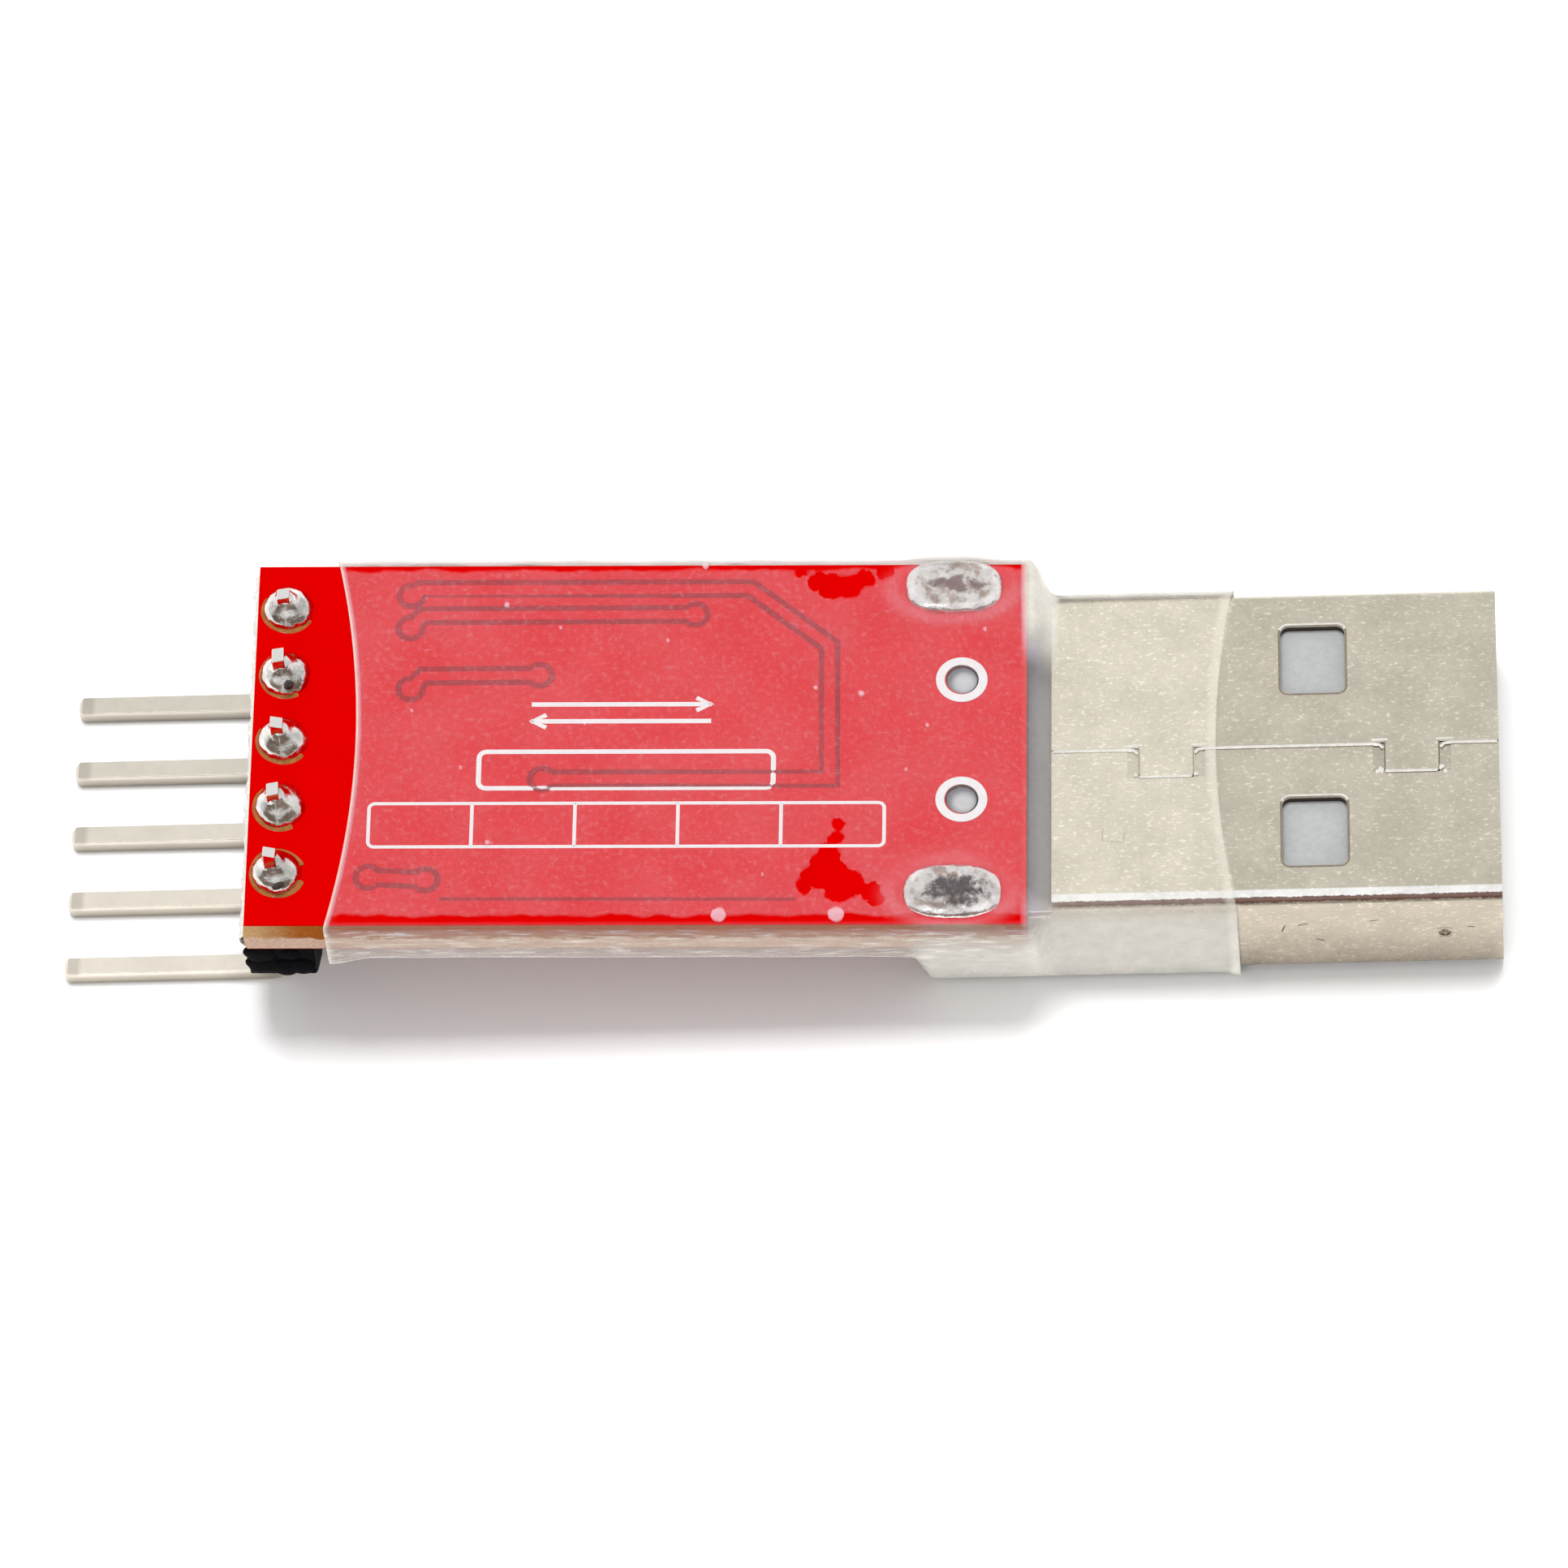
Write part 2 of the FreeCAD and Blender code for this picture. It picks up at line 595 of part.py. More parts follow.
def make_plug_shell(document):
    """Folded sheet shell: a wrapped tube with a locked seam, windows and two solder tabs."""
    body = new_body(document, "plug_shell")
    tube = add_sketch(body, "YZ_Plane", "Layout.rear_x")
    add_rounded_section(tube, "0")
    add_rounded_section(tube, "Sizes.shell_wall")
    add_feature(body, "Pad", tube, Length="Sizes.shell_length")

    notch = add_sketch(body, "XZ_Plane")
    behind = "Layout.rear_x - Sizes.shell_wall"
    add_rectangle(notch, behind, "Layout.edge_x", "Layout.seat_z", "Layout.shell_top + Sizes.shell_wall")
    add_feature(body, "Pocket", notch, Type="ThroughAll", Midplane=True)

    windows = add_sketch(body, "XY_Plane", "Layout.shell_top + Sizes.shell_wall")
    middle = "Layout.tip_x - Sizes.window_from_tip"
    for side in ("-", "+"):
        across = f"{side}Sizes.window_spacing / 2"
        add_rounded_rectangle(
            windows,
            f"{middle} - Sizes.window_length / 2",
            f"{middle} + Sizes.window_length / 2",
            f"{across} - Sizes.window_width / 2",
            f"{across} + Sizes.window_width / 2",
            "Sizes.window_corner",
        )
    add_feature(body, "Pocket", windows, Type="ThroughAll")

    seam = add_sketch(body, "XY_Plane", "Layout.shell_top")
    add_polygon(seam, seam_outline())
    add_feature(body, "Pocket", seam, Length="Sizes.shell_wall + Sizes.seam_gap")

    stakes = add_sketch(body, "XY_Plane", "Layout.shell_top")
    for from_tip in ("Sizes.rear_lock_from_tip", "Sizes.front_lock_from_tip"):
        centre = f"Layout.tip_x - {from_tip}"
        reach = "(Sizes.lock_width / 2 + Sizes.seam_gap)"
        ends = ("-Sizes.lock_depth", "-Sizes.seam_gap")
        add_rectangle(stakes, f"{centre} - {reach} - Sizes.stake_width", f"{centre} - {reach}", *ends)
        add_rectangle(stakes, f"{centre} + {reach}", f"{centre} + {reach} + Sizes.stake_width", *ends)
    add_feature(body, "Pocket", stakes, Length="Sizes.stake_depth")

    dimple = add_sketch(body, "XZ_Plane", "Sizes.shell_width / 2")
    height = "Sizes.film_wall + Sizes.shell_height / 2"
    add_circle(dimple, "Layout.tip_x - Sizes.dimple_from_tip", height, "Sizes.dimple_radius")
    add_feature(body, "Pocket", dimple, Length="Sizes.dimple_depth")

    tab = add_sketch(body, "XZ_Plane", "Sizes.shell_width / 2 - Sizes.shell_wall")
    tilt = "Sizes.board_tilt"
    place = "Layout.tab_x"
    crown = f"Layout.board_z - Layout.tab_local * sin({tilt}) + Sizes.tab_stand"
    half = "Sizes.tab_width / 2"
    root = "Layout.seat_z - Sizes.shell_wall"
    add_polygon(
        tab,
        [
            (f"{place} - {half}", root),
            (f"{place} + {half}", root),
            (f"{place} + {half}", f"{crown} - Sizes.tab_corner"),
            (f"{place} + {half} - Sizes.tab_corner", crown),
            (f"{place} - {half} + Sizes.tab_corner", crown),
            (f"{place} - {half}", f"{crown} - Sizes.tab_corner"),
        ],
    )
    near_tab = add_feature(body, "Pad", tab, Length="Sizes.shell_wall")
    both = body.newObject("PartDesign::Mirrored", "far_tab")
    both.Originals = [near_tab]
    both.MirrorPlane = (origin_plane(body, "XZ_Plane"), [""])
    body.Tip = both
    place_in_plug(body)
    return body


def contact_rows():
    """Sideways place and front setback of the four contacts, far side first."""
    inner = ("Sizes.inner_contact_spacing / 2", "Sizes.inner_contact_setback")
    outer = ("Sizes.outer_contact_spacing / 2", "Sizes.outer_contact_setback")
    return [("+", *outer), ("+", *inner), ("-", *inner), ("-", *outer)]


def contact_heights():
    """Lower and upper face of the contacts' straight run."""
    tongue_under = "(Layout.shell_top - Sizes.shell_wall - Sizes.tongue_thickness)"
    lower = f"({tongue_under} - Sizes.contact_proud)"
    return lower, f"({lower} + Sizes.contact_thickness)"


def make_plug_insulator(document):
    """Moulded block and tongue with locating pegs and a channel for each contact."""
    body = new_body(document, "plug_insulator")
    block = add_sketch(body, "YZ_Plane", "Layout.rear_x")
    add_rounded_section(block, "Sizes.shell_wall")
    add_feature(body, "Pad", block, Length="Sizes.shell_length - Sizes.hollow_depth")

    tongue = add_sketch(body, "YZ_Plane", "Layout.base_x")
    half = "(Sizes.shell_width / 2 - Sizes.shell_wall - Sizes.tongue_clearance)"
    roof = "(Layout.shell_top - Sizes.shell_wall)"
    under = f"{roof} - Sizes.tongue_thickness"
    bevel = "(Sizes.shell_corner - Sizes.shell_wall)"
    add_polygon(
        tongue,
        [
            (f"-{half}", under),
            (half, under),
            (half, f"{roof} - {bevel}"),
            (f"{half} - {bevel}", roof),
            (f"-{half} + {bevel}", roof),
            (f"-{half}", f"{roof} - {bevel}"),
        ],
    )
    add_feature(body, "Pad", tongue, Length="Sizes.hollow_depth - Sizes.tongue_setback")

    def nose_edge(edge):
        front = min(vertex.X for vertex in edge.Vertexes)
        low = max(vertex.Z for vertex in edge.Vertexes) < number(body, roof) - SIZES["shell_wall"]
        is_front = front > number(body, "Layout.tip_x - Sizes.tongue_setback - Sizes.shell_wall")
        return is_parallel(edge, Y_AXIS) and is_front and low

    dress_edges(body, "Chamfer", "Sizes.tongue_nose", nose_edge)

    seat = add_sketch(body, "XZ_Plane")
    behind = "Layout.rear_x - Sizes.shell_wall"
    add_rectangle(seat, behind, "Layout.edge_x", "Layout.seat_z", "Layout.shell_top + Sizes.shell_wall")
    add_feature(body, "Pocket", seat, Type="ThroughAll", Midplane=True)

    pegs = add_sketch(body, "XY_Plane", "Layout.seat_z")
    for side in ("-", "+"):
        add_circle(pegs, "Layout.peg_x", f"{side}Sizes.peg_spacing / 2", "Sizes.peg_diameter / 2")
    crown = "Layout.board_z - Layout.peg_local * sin(Sizes.board_tilt) - Sizes.peg_recess"
    add_feature(body, "Pad", pegs, Length=f"{crown} - Layout.seat_z")

    lower, upper = contact_heights()
    start = "(Layout.rear_x - Sizes.shell_wall)"
    for side, across, setback in contact_rows():
        channel = add_sketch(body, "YZ_Plane", start)
        middle = f"{side}{across}"
        width = "Sizes.contact_width / 2"
        add_rectangle(channel, f"{middle} - {width}", f"{middle} + {width}", lower, upper)
        front = f"Layout.tip_x - Sizes.tongue_setback - {setback}"
        add_feature(body, "Pocket", channel, Length=f"{front} - {start}", Reversed=True)
    place_in_plug(body)
    return body


def make_plug_contact(document, index):
    """Stamped contact: runs under the tongue, rises behind the block and turns onto the board."""
    side, across, setback = contact_rows()[index]
    body = new_body(document, f"plug_contact_{index + 1}")
    lower, upper = contact_heights()
    tilt = "Sizes.board_tilt"
    front = f"Layout.tip_x - Sizes.tongue_setback - {setback}"
    riser = "(Layout.rear_x - Sizes.riser_gap)"
    drop = f"({riser} - Layout.board_x) * tan({tilt})"
    under = f"Layout.board_z - Sizes.board_thickness / cos({tilt}) - {drop}"
    back = f"{riser} - Sizes.contact_thickness"
    tail = f"{back} - Sizes.contact_tail"
    side_view = add_sketch(body, "XZ_Plane")
    add_polygon(
        side_view,
        [
            (front, lower),
            (front, upper),
            (riser, upper),
            (riser, under),
            (tail, under),
            (tail, f"{under} - Sizes.contact_thickness"),
            (back, f"{under} - Sizes.contact_thickness"),
            (back, lower),
        ],
    )
    add_feature(body, "Pad", side_view, Length="Sizes.contact_width", Midplane=True)
    back_place = number(body, back)

    def bend_edge(edge):
        place = edge.Vertexes[0].X
        beside = abs(place - back_place - SIZES["contact_thickness"] / 2) < SIZES["contact_thickness"]
        return is_parallel(edge, Y_AXIS) and beside

    dress_edges(body, "Fillet", "Sizes.contact_bend", bend_edge)
    place_in_plug(body, f"{side}1 * {across}")
    return body


def make_tab_solder(document, name, side):
    """Pillow-shaped joint over one of the shell's tabs on the board's upper face."""
    dome = new_body(document, name + "_dome")
    outline = add_sketch(dome, "XY_Plane")
    add_slot(outline, "Layout.blob_length", "Sizes.blob_width")
    add_feature(dome, "Pad", outline, Length="Sizes.blob_height")

    def at_crown(edge):
        return min(vertex.Z for vertex in edge.Vertexes) > SIZES["blob_height"] / 2

    dress_edges(dome, "Fillet", "Sizes.blob_round", at_crown)
    across = f"Sizes.plug_shift {side} Layout.side_y"
    place_on_board(dome, "Layout.tab_local", across, "0")
    tab = document.addObject("Part::Box", name + "_tab_room")
    tab.setExpression("Length", "Sizes.tab_width")
    tab.setExpression("Width", "Sizes.shell_wall")
    tab.setExpression("Height", "Sizes.board_thickness + 2 * Sizes.tab_stand")
    deck = "Layout.board_z - Layout.tab_local * sin(Sizes.board_tilt)"
    tab.setExpression("Placement.Base.x", "Layout.tab_x - Sizes.tab_width / 2")
    tab.setExpression("Placement.Base.y", f"{across} - Sizes.shell_wall / 2")
    tab.setExpression("Placement.Base.z", f"{deck} - Sizes.board_thickness - Sizes.tab_stand")
    joint = document.addObject("Part::Cut", name)
    joint.Label = name
    joint.Base = dome
    joint.Tool = tab
    return joint


def film_section(kind, station, wall):
    """Corners of the sleeve's section at one place along X; wall moves them outward."""
    tilt = "Sizes.board_tilt"
    deck = f"(Layout.board_z - ({station} - Layout.board_x) * tan({tilt}))"
    keel = f"({deck} - Sizes.board_thickness / cos({tilt}))"
    board_side = f"(Layout.board_width / 2 + Sizes.score_depth + Sizes.film_gap + {wall})"
    plug_side = f"(Sizes.shell_width / 2 + Sizes.film_gap + {wall})"
    floor = f"(Sizes.film_wall - {wall})"
    on_board = "board" in kind or "both" in kind
    corner = "Sizes.film_board_corner" if on_board else "Sizes.film_plug_corner"
    side = board_side if on_board else plug_side
    covered = deck if on_board else "Layout.shell_top"
    roof = f"({covered} + Sizes.film_gap + {wall})"
    crown = f"({deck} + Sizes.film_blob_rise + {wall})" if "raised" in kind else roof
    ridge = "(Layout.side_y - Sizes.blob_width / 2 + Sizes.film_ridge_inset)"
    upper = [
        (f"{ridge} - Sizes.film_blob_slope", roof),
        (ridge, crown),
        (f"{side} - {corner}", crown),
        (side, f"{crown} - {corner}"),
    ]
    if "board" in kind:
        lip = f"({keel} - Sizes.film_lip)"
        belly = f"({keel} - Sizes.film_belly - {wall})"
        inset = f"(Sizes.film_belly_inset - {wall})"
        lower = [
            (side, lip),
            (f"{side} - {inset} / 2", f"({lip} + {belly}) / 2"),
            (f"{side} - {inset}", belly),
        ]
    else:
        waist = f"({keel} - Sizes.film_gap - {wall})" if on_board else f"({roof} + {floor}) / 2"
        bend = "Sizes.film_plug_corner"
        lower = [(side, waist), (plug_side, f"{floor} + {bend}"), (f"{plug_side} - {bend}", floor)]
    upper_shift = "0" if on_board else "Sizes.plug_shift"
    lower_shift = "0" if "board" in kind else "Sizes.plug_shift"
    shifts = [upper_shift] * len(upper) + [upper_shift] + [lower_shift] * (len(lower) - 1)
    half = list(zip(upper + lower, shifts))
    far = [(f"{shift} + ({across})", height) for (across, height), shift in half]
    near = [(f"{shift} - ({across})", height) for (across, height), shift in half]
    return far + near[::-1]


def film_stations():
    """Kind of section and its place along X, from the header end to the plug."""
    tilt = "Sizes.board_tilt"
    start = f"(Layout.board_x + (Layout.strip_local + Sizes.film_from_strip) * cos({tilt}))"
    blob = f"(Layout.board_x + Layout.tab_local * cos({tilt}))"
    half = "(Layout.blob_length / 2 + Sizes.film_blob_margin)"
    board_end = f"(Layout.board_x + (Sizes.board_length / 2 + Sizes.score_depth) * cos({tilt}))"
    return [
        ("board", f"{start} - Sizes.film_bow"),
        ("board", f"{blob} - {half} - Sizes.film_slope"),
        ("board raised", f"{blob} - {half}"),
        ("board raised", "Layout.rear_x - Sizes.riser_gap - Sizes.film_step"),
        ("both raised", "Layout.rear_x - Sizes.film_gap - Sizes.film_wall"),
        ("both raised", f"{blob} + {half}"),
        ("both", f"{board_end} + Sizes.film_gap"),
        ("plug", "Layout.edge_x + Sizes.film_gap"),
        ("plug", "Layout.tip_x - Sizes.film_from_tip + Sizes.film_bow"),
    ]


def make_heat_shrink_sleeve(document):
    """Clear sleeve shrunk over board and plug, with bowed ends, as one open-ended skin."""
    body = new_body(document, "heat_shrink_sleeve")
    stations = film_stations()

    def loft(kind, wall):
        sketches = []
        for section, station in stations:
            sketch = add_sketch(body, "YZ_Plane", station)
            add_polygon(sketch, film_section(section, station, wall))
            sketches.append(sketch)
        feature = body.newObject("PartDesign::" + kind, "sleeve_" + kind)
        feature.Profile = sketches[0]
        feature.Sections = sketches[1:]
        feature.Ruled = True
        return feature

    loft("AdditiveLoft", "Sizes.film_wall")
    body.Document.recompute()
    loft("SubtractiveLoft", "0")
    body.Document.recompute()

    start = stations[0][1]
    end = stations[-1][1]
    ends = add_sketch(body, "XY_Plane", "Layout.board_z + Sizes.shell_height")
    side = "(Layout.board_width / 2 + Sizes.cut_margin)"
    add_bowed_end(ends, f"{start} - Sizes.cut_margin", f"{start} + Sizes.film_bow", "Sizes.film_bow", side)
    add_bowed_end(ends, f"{end} + Sizes.cut_margin", f"{end} - Sizes.film_bow", "-Sizes.film_bow", side)
    add_feature(body, "Pocket", ends, Type="ThroughAll")
    return body


def add_bowed_end(sketch, outer, edge, bow, side):
    """Region outside one bowed end: an arc whose middle lies further in than its ends."""
    radius = f"((({side})^2 + ({bow})^2) / (2 * abs({bow})))"
    half_turn = f"asin({side} / {radius})"
    outer_x, edge_x, bow_x, side_y = (number(sketch, text) for text in (outer, edge, bow, side))
    size = number(sketch, radius)
    half = math.radians(number(sketch, half_turn))
    middle_angle = 0 if bow_x > 0 else math.pi
    centre = FreeCAD.Vector(edge_x + bow_x - math.copysign(size, bow_x), 0, 0)
    last = side_y if bow_x > 0 else -side_y
    first = sketch.GeometryCount
    circle = Part.Circle(centre, Z_AXIS, size)
    corners = [
        FreeCAD.Vector(edge_x, last, 0),
        FreeCAD.Vector(outer_x, last, 0),
        FreeCAD.Vector(outer_x, -last, 0),
        FreeCAD.Vector(edge_x, -last, 0),
    ]
    sketch.addGeometry(Part.ArcOfCircle(circle, middle_angle - half, middle_angle + half))
    for start, end in zip(corners, corners[1:]):
        sketch.addGeometry(Part.LineSegment(start, end))
    for index in range(4):
        following = first + (index + 1) % 4
        sketch.addConstraint(Sketcher.Constraint("Coincident", first + index, 2, following, 1))
    last_text = side if bow_x > 0 else f"-{side}"
    first_text = f"-{side}" if bow_x > 0 else side
    places = [(edge, last_text), (outer, last_text), (outer, first_text), (edge, first_text)]
    for index, (across, along) in enumerate(places):
        bind(sketch, "DistanceX", first + index, 2, across)
        bind(sketch, "DistanceY", first + index, 2, along)
    index = sketch.addConstraint(Sketcher.Constraint("Radius", first, size))
    sketch.setExpression(f"Constraints[{index}]", radius)


def make_bridge_chip(document):
    """Square moulded chip package with a row of pads along each side, under the board."""
    body = new_body(document, "bridge_chip")
    half = "Sizes.chip_size / 2"
    outline = add_sketch(body, "XY_Plane")
    add_rectangle(outline, f"-{half}", half, f"-{half}", half)
    add_feature(body, "Pad", outline, Length="Sizes.chip_height", Reversed=True)
    pads = add_sketch(body, "XY_Plane")
    edge = f"({half} + Sizes.chip_pad_stand)"
    inner = f"({edge} - Sizes.chip_pad_length)"
    for index in range(SIZES["chip_pads"]):
        place = f"({index} - ({SIZES['chip_pads']} - 1) / 2) * Sizes.chip_pad_pitch"
        width = "Sizes.chip_pad_width / 2"
        add_rectangle(pads, inner, edge, f"{place} - {width}", f"{place} + {width}")
    one_side = add_feature(body, "Pad", pads, Length="Sizes.chip_pad_height", Reversed=True)
    four_sides = body.newObject("PartDesign::PolarPattern", "chip_pad_sides")
    four_sides.Originals = [one_side]
    four_sides.Axis = (pads, ["N_Axis"])
    four_sides.Occurrences = 4
    four_sides.Angle = 360
    body.Tip = four_sides
    place_on_board(body, "Layout.chip_local", "0", "-Sizes.board_thickness")
    return body


def make_chip_part(document, label, kind, along, across, turned=False):
    """Two-ended surface-mount part under the board: a body between two plated end caps."""
    body = new_body(document, label)
    half_length = f"Sizes.{kind}_length / 2"
    half_width = f"Sizes.{kind}_width / 2"
    inset = "Sizes.cap_inset"
    cap = f"(Sizes.{kind}_length * Sizes.end_cap_share)"

    def box(start, end, side, height):
        sketch = add_sketch(body, "XY_Plane")
        if turned:
            add_rectangle(sketch, f"-({side})", side, start, end)
        else:
            add_rectangle(sketch, start, end, f"-({side})", side)
        add_feature(body, "Pad", sketch, Length=height, Reversed=True)

    inner_end = f"{half_length} - {inset}"
    box(f"-({inner_end})", inner_end, f"{half_width} - {inset}", f"Sizes.{kind}_height - {inset}")
    box(f"-{half_length}", f"-{half_length} + {cap}", half_width, f"Sizes.{kind}_height")
    box(f"{half_length} - {cap}", half_length, half_width, f"Sizes.{kind}_height")
    place_on_board(body, along, across, "-Sizes.board_thickness")
    return body


def make_component_side(document):
    """Chip, signal lamps with their resistors, capacitors and fuse under the board."""
    made = [make_bridge_chip(document)]
    resistor = "Layout.resistor_local"
    capacitor = "Layout.capacitor_local"
    for place, step in zip(("1", "2", "3"), ("-1", "0", "1")):
        lamp_across = f"{step} * Sizes.led_spacing"
        capacitor_across = f"{step} * Sizes.capacitor_spacing"
        made += [
            make_chip_part(document, "signal_led_" + place, "led", "Layout.led_local", lamp_across, True),
            make_chip_part(document, "led_resistor_" + place, "resistor", resistor, lamp_across, True),
            make_chip_part(document, "capacitor_" + place, "capacitor", capacitor, capacitor_across),
        ]
    made.append(make_chip_part(document, "resettable_fuse", "fuse", "Layout.fuse_local", "0", True))
    return made


def make_all(document):
    """Build every sub-part and return the list of the objects to write."""
    made = [
        make_circuit_board(document),
        make_header_strip(document),
        make_plug_shell(document),
        make_plug_insulator(document),
        make_heat_shrink_sleeve(document),
        make_tab_solder(document, "tab_solder_far", "+"),
        make_tab_solder(document, "tab_solder_near", "-"),
    ]
    for index in range(SIZES["pin_count"]):
        made.append(make_header_pin(document, index))
        made.append(make_header_solder(document, index))
    for index in range(len(contact_rows())):
        made.append(make_plug_contact(document, index))
    made += make_component_side(document)
    return made


def check(document, made):
    """Stop if any object failed or any sub-part isn't one valid shape."""
    for item in document.Objects:
        if "Invalid" in item.State or "Error" in item.State:
            raise RuntimeError(f"{item.Label} failed: {item.State}")
    for item in made:
        if item.Shape.isNull() or not item.Shape.isValid() or not item.Shape.Solids:
            raise RuntimeError(f"{item.Label} has no valid solid")


def main():
    """Build the module and write one file for each sub-part."""
    os.makedirs(PARTS_FOLDER, exist_ok=True)
    document = new_document()
    made = make_all(document)
    document.recompute()
    check(document, made)
    for item in made:
        item.Shape.exportStep(os.path.join(PARTS_FOLDER, item.Label + ".step"))
        box = item.Shape.BoundBox
        print(item.Label, len(item.Shape.Solids), round(item.Shape.Volume, 3), box)


main()
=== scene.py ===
"""Serial adapter module: a red board in a clear shrunk sleeve, with a folded plug and five pins.

The module lies solder side up on a pale floor. Sizes are fields in millimetres, and meshes
are made in millimetres and put into metres when they become pieces.
"""

import logging
import math
import random
from collections.abc import Callable, Iterable, Sequence
from dataclasses import dataclass, field
from enum import Enum
from functools import partial, reduce

import bmesh
import bpy
from mathutils import Matrix, Vector, noise


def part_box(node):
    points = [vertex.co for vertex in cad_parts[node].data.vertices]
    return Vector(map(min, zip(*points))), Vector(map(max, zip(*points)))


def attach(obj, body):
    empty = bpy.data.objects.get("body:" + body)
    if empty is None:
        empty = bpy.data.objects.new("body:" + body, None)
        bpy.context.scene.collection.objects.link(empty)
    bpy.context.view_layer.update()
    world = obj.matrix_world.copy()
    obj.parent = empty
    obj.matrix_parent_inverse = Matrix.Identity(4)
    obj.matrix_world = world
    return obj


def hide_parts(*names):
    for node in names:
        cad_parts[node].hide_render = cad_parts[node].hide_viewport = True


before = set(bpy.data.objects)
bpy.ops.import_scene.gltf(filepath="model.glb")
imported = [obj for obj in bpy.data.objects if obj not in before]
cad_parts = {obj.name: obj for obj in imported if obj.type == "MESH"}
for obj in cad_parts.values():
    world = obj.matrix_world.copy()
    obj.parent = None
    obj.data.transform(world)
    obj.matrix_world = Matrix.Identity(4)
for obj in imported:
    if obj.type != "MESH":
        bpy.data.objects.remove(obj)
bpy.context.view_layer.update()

LOG = logging.getLogger("module")
MM = 0.001
ROOT = "root"
MERGE = 0.0005

Colour = tuple[float, float, float]
Band = tuple[float, float]
Strip = tuple[float, float, float, float]
Spot = tuple[float, float, float]
Socket = bpy.types.NodeSocket
Feed = Socket | float | Sequence[float]
Path = Sequence[tuple[float, float]]


def smooth(low: float, high: float, value: float) -> float:
    """Smooth step from 0 at low to 1 at high; low may be the larger one.

    Args:
        low: Value where the step starts.
        high: Value where the step ends.
        value: Value to test.

    Returns:
        Share between 0 and 1.
    """
    share = min(max((value - low) / (high - low), 0.0), 1.0)
    return share * share * (3.0 - 2.0 * share)


def bell(value: float, width: float) -> float:
    """Round hump that is 1 at zero and fades over a width."""
    return math.exp(-((value / width) ** 2))


def blend(first: float, second: float, share: float) -> float:
    """Straight mix of two numbers."""
    return first + (second - first) * share


def bump_at(place: Vector, scale: float, seed: float = 0.0) -> float:
    """Smooth random height between about -1 and 1.

    Args:
        place: Point in millimetres.
        scale: Waves per millimetre.
        seed: Shift that gives another pattern.

    Returns:
        Height at the point.
    """
    return noise.noise(place * scale + Vector((seed, seed * 0.7, -seed)))


# Places shared with the solids


@dataclass(frozen=True)
class BoardFrame:
    """The tilted board's own frame: x along it, y to the far side, z up from its upper face.

    Attributes:
        origin: Centre of the upper face.
        tilt: Slope down towards the plug, in degrees.
        length: Length of the upper face.
        width: Width of the upper face.
        thickness: Board thickness.
        row: Place of the pin row along the board.
        first_pin: Sideways place of the farthest pin.
        pitch: Distance between pins.
        pins: Number of pins.
    """

    origin: tuple[float, float, float] = (-4.3839, 0.0, 6.1044)
    tilt: float = 2.47
    length: float = 25.8
    width: float = 13.83
    thickness: float = 1.6
    row: float = -11.86
    first_pin: float = 5.21
    pitch: float = 2.54
    pins: int = 5

    def matrix(self) -> Matrix:
        """Board frame to module frame, in millimetres."""
        return Matrix.Translation(self.origin) @ Matrix.Rotation(math.radians(self.tilt), 4, "Y")

    def at(self, x: float, y: float, z: float = 0.0) -> Matrix:
        """Matrix that puts a mesh at a place on the board."""
        return self.matrix() @ Matrix.Translation((x, y, z))

    def at_pin(self, index: int) -> Matrix:
        """Matrix that puts a mesh at the foot of one pin's joint."""
        return self.at(self.row, self.pin_across(index))

    def deck(self, x: float) -> float:
        """Height of the upper face above the floor at a place along the module."""
        return self.origin[2] - (x - self.origin[0]) * math.tan(math.radians(self.tilt))

    def along(self, local_x: float) -> float:
        """Place along the module of a point given along the board."""
        return self.origin[0] + local_x * math.cos(math.radians(self.tilt))

    def pin_across(self, index: int) -> float:
        """Sideways place of one pin, counted from the far side."""
        return self.first_pin - index * self.pitch


@dataclass(frozen=True)
class PlugFrame:
    """Places of the plug, which lies level.

    Attributes:
        tip: Place of the open end along the module.
        rear: Place of the shell's rear end.
        top_edge: Place where the upper wall starts.
        shift: Sideways place of the plug's middle.
        half_width: Half of the shell's width.
        top: Height of the upper wall's face.
        tab: Place of the solder tabs along the module.
        tab_inset: Distance of a tab joint's middle from the shell's side.
        joint_half: Half length and half width of a tab joint.
        joint_power: How square a tab joint's outline is; 2 is an oval.
        window: Place of the windows along the module, and their distance from the middle.
    """

    tip: float = 24.154
    rear: float = 5.354
    top_edge: float = 9.294
    shift: float = 0.15
    half_width: float = 6.0
    top: float = 4.65
    tab: float = 6.034
    tab_inset: float = 0.15
    joint_half: tuple[float, float] = (1.66, 1.03)
    joint_power: float = 2.6
    window: tuple[float, float] = (18.024, 3.3)

    def on_top(self, lift: float, across: float = 0.0) -> Matrix:
        """Matrix that raises flat lines to the upper wall's face, and past it by the lift."""
        return Matrix.Translation((0, across, self.top + lift))

    def on_side(self, x: float = 0.0, z: float = 0.0) -> Matrix:
        """Matrix that stands flat lines on the near side of the shell."""
        upright = Matrix.Rotation(math.radians(90), 4, "X")
        return Matrix.Translation((x, self.shift - self.half_width, z)) @ upright


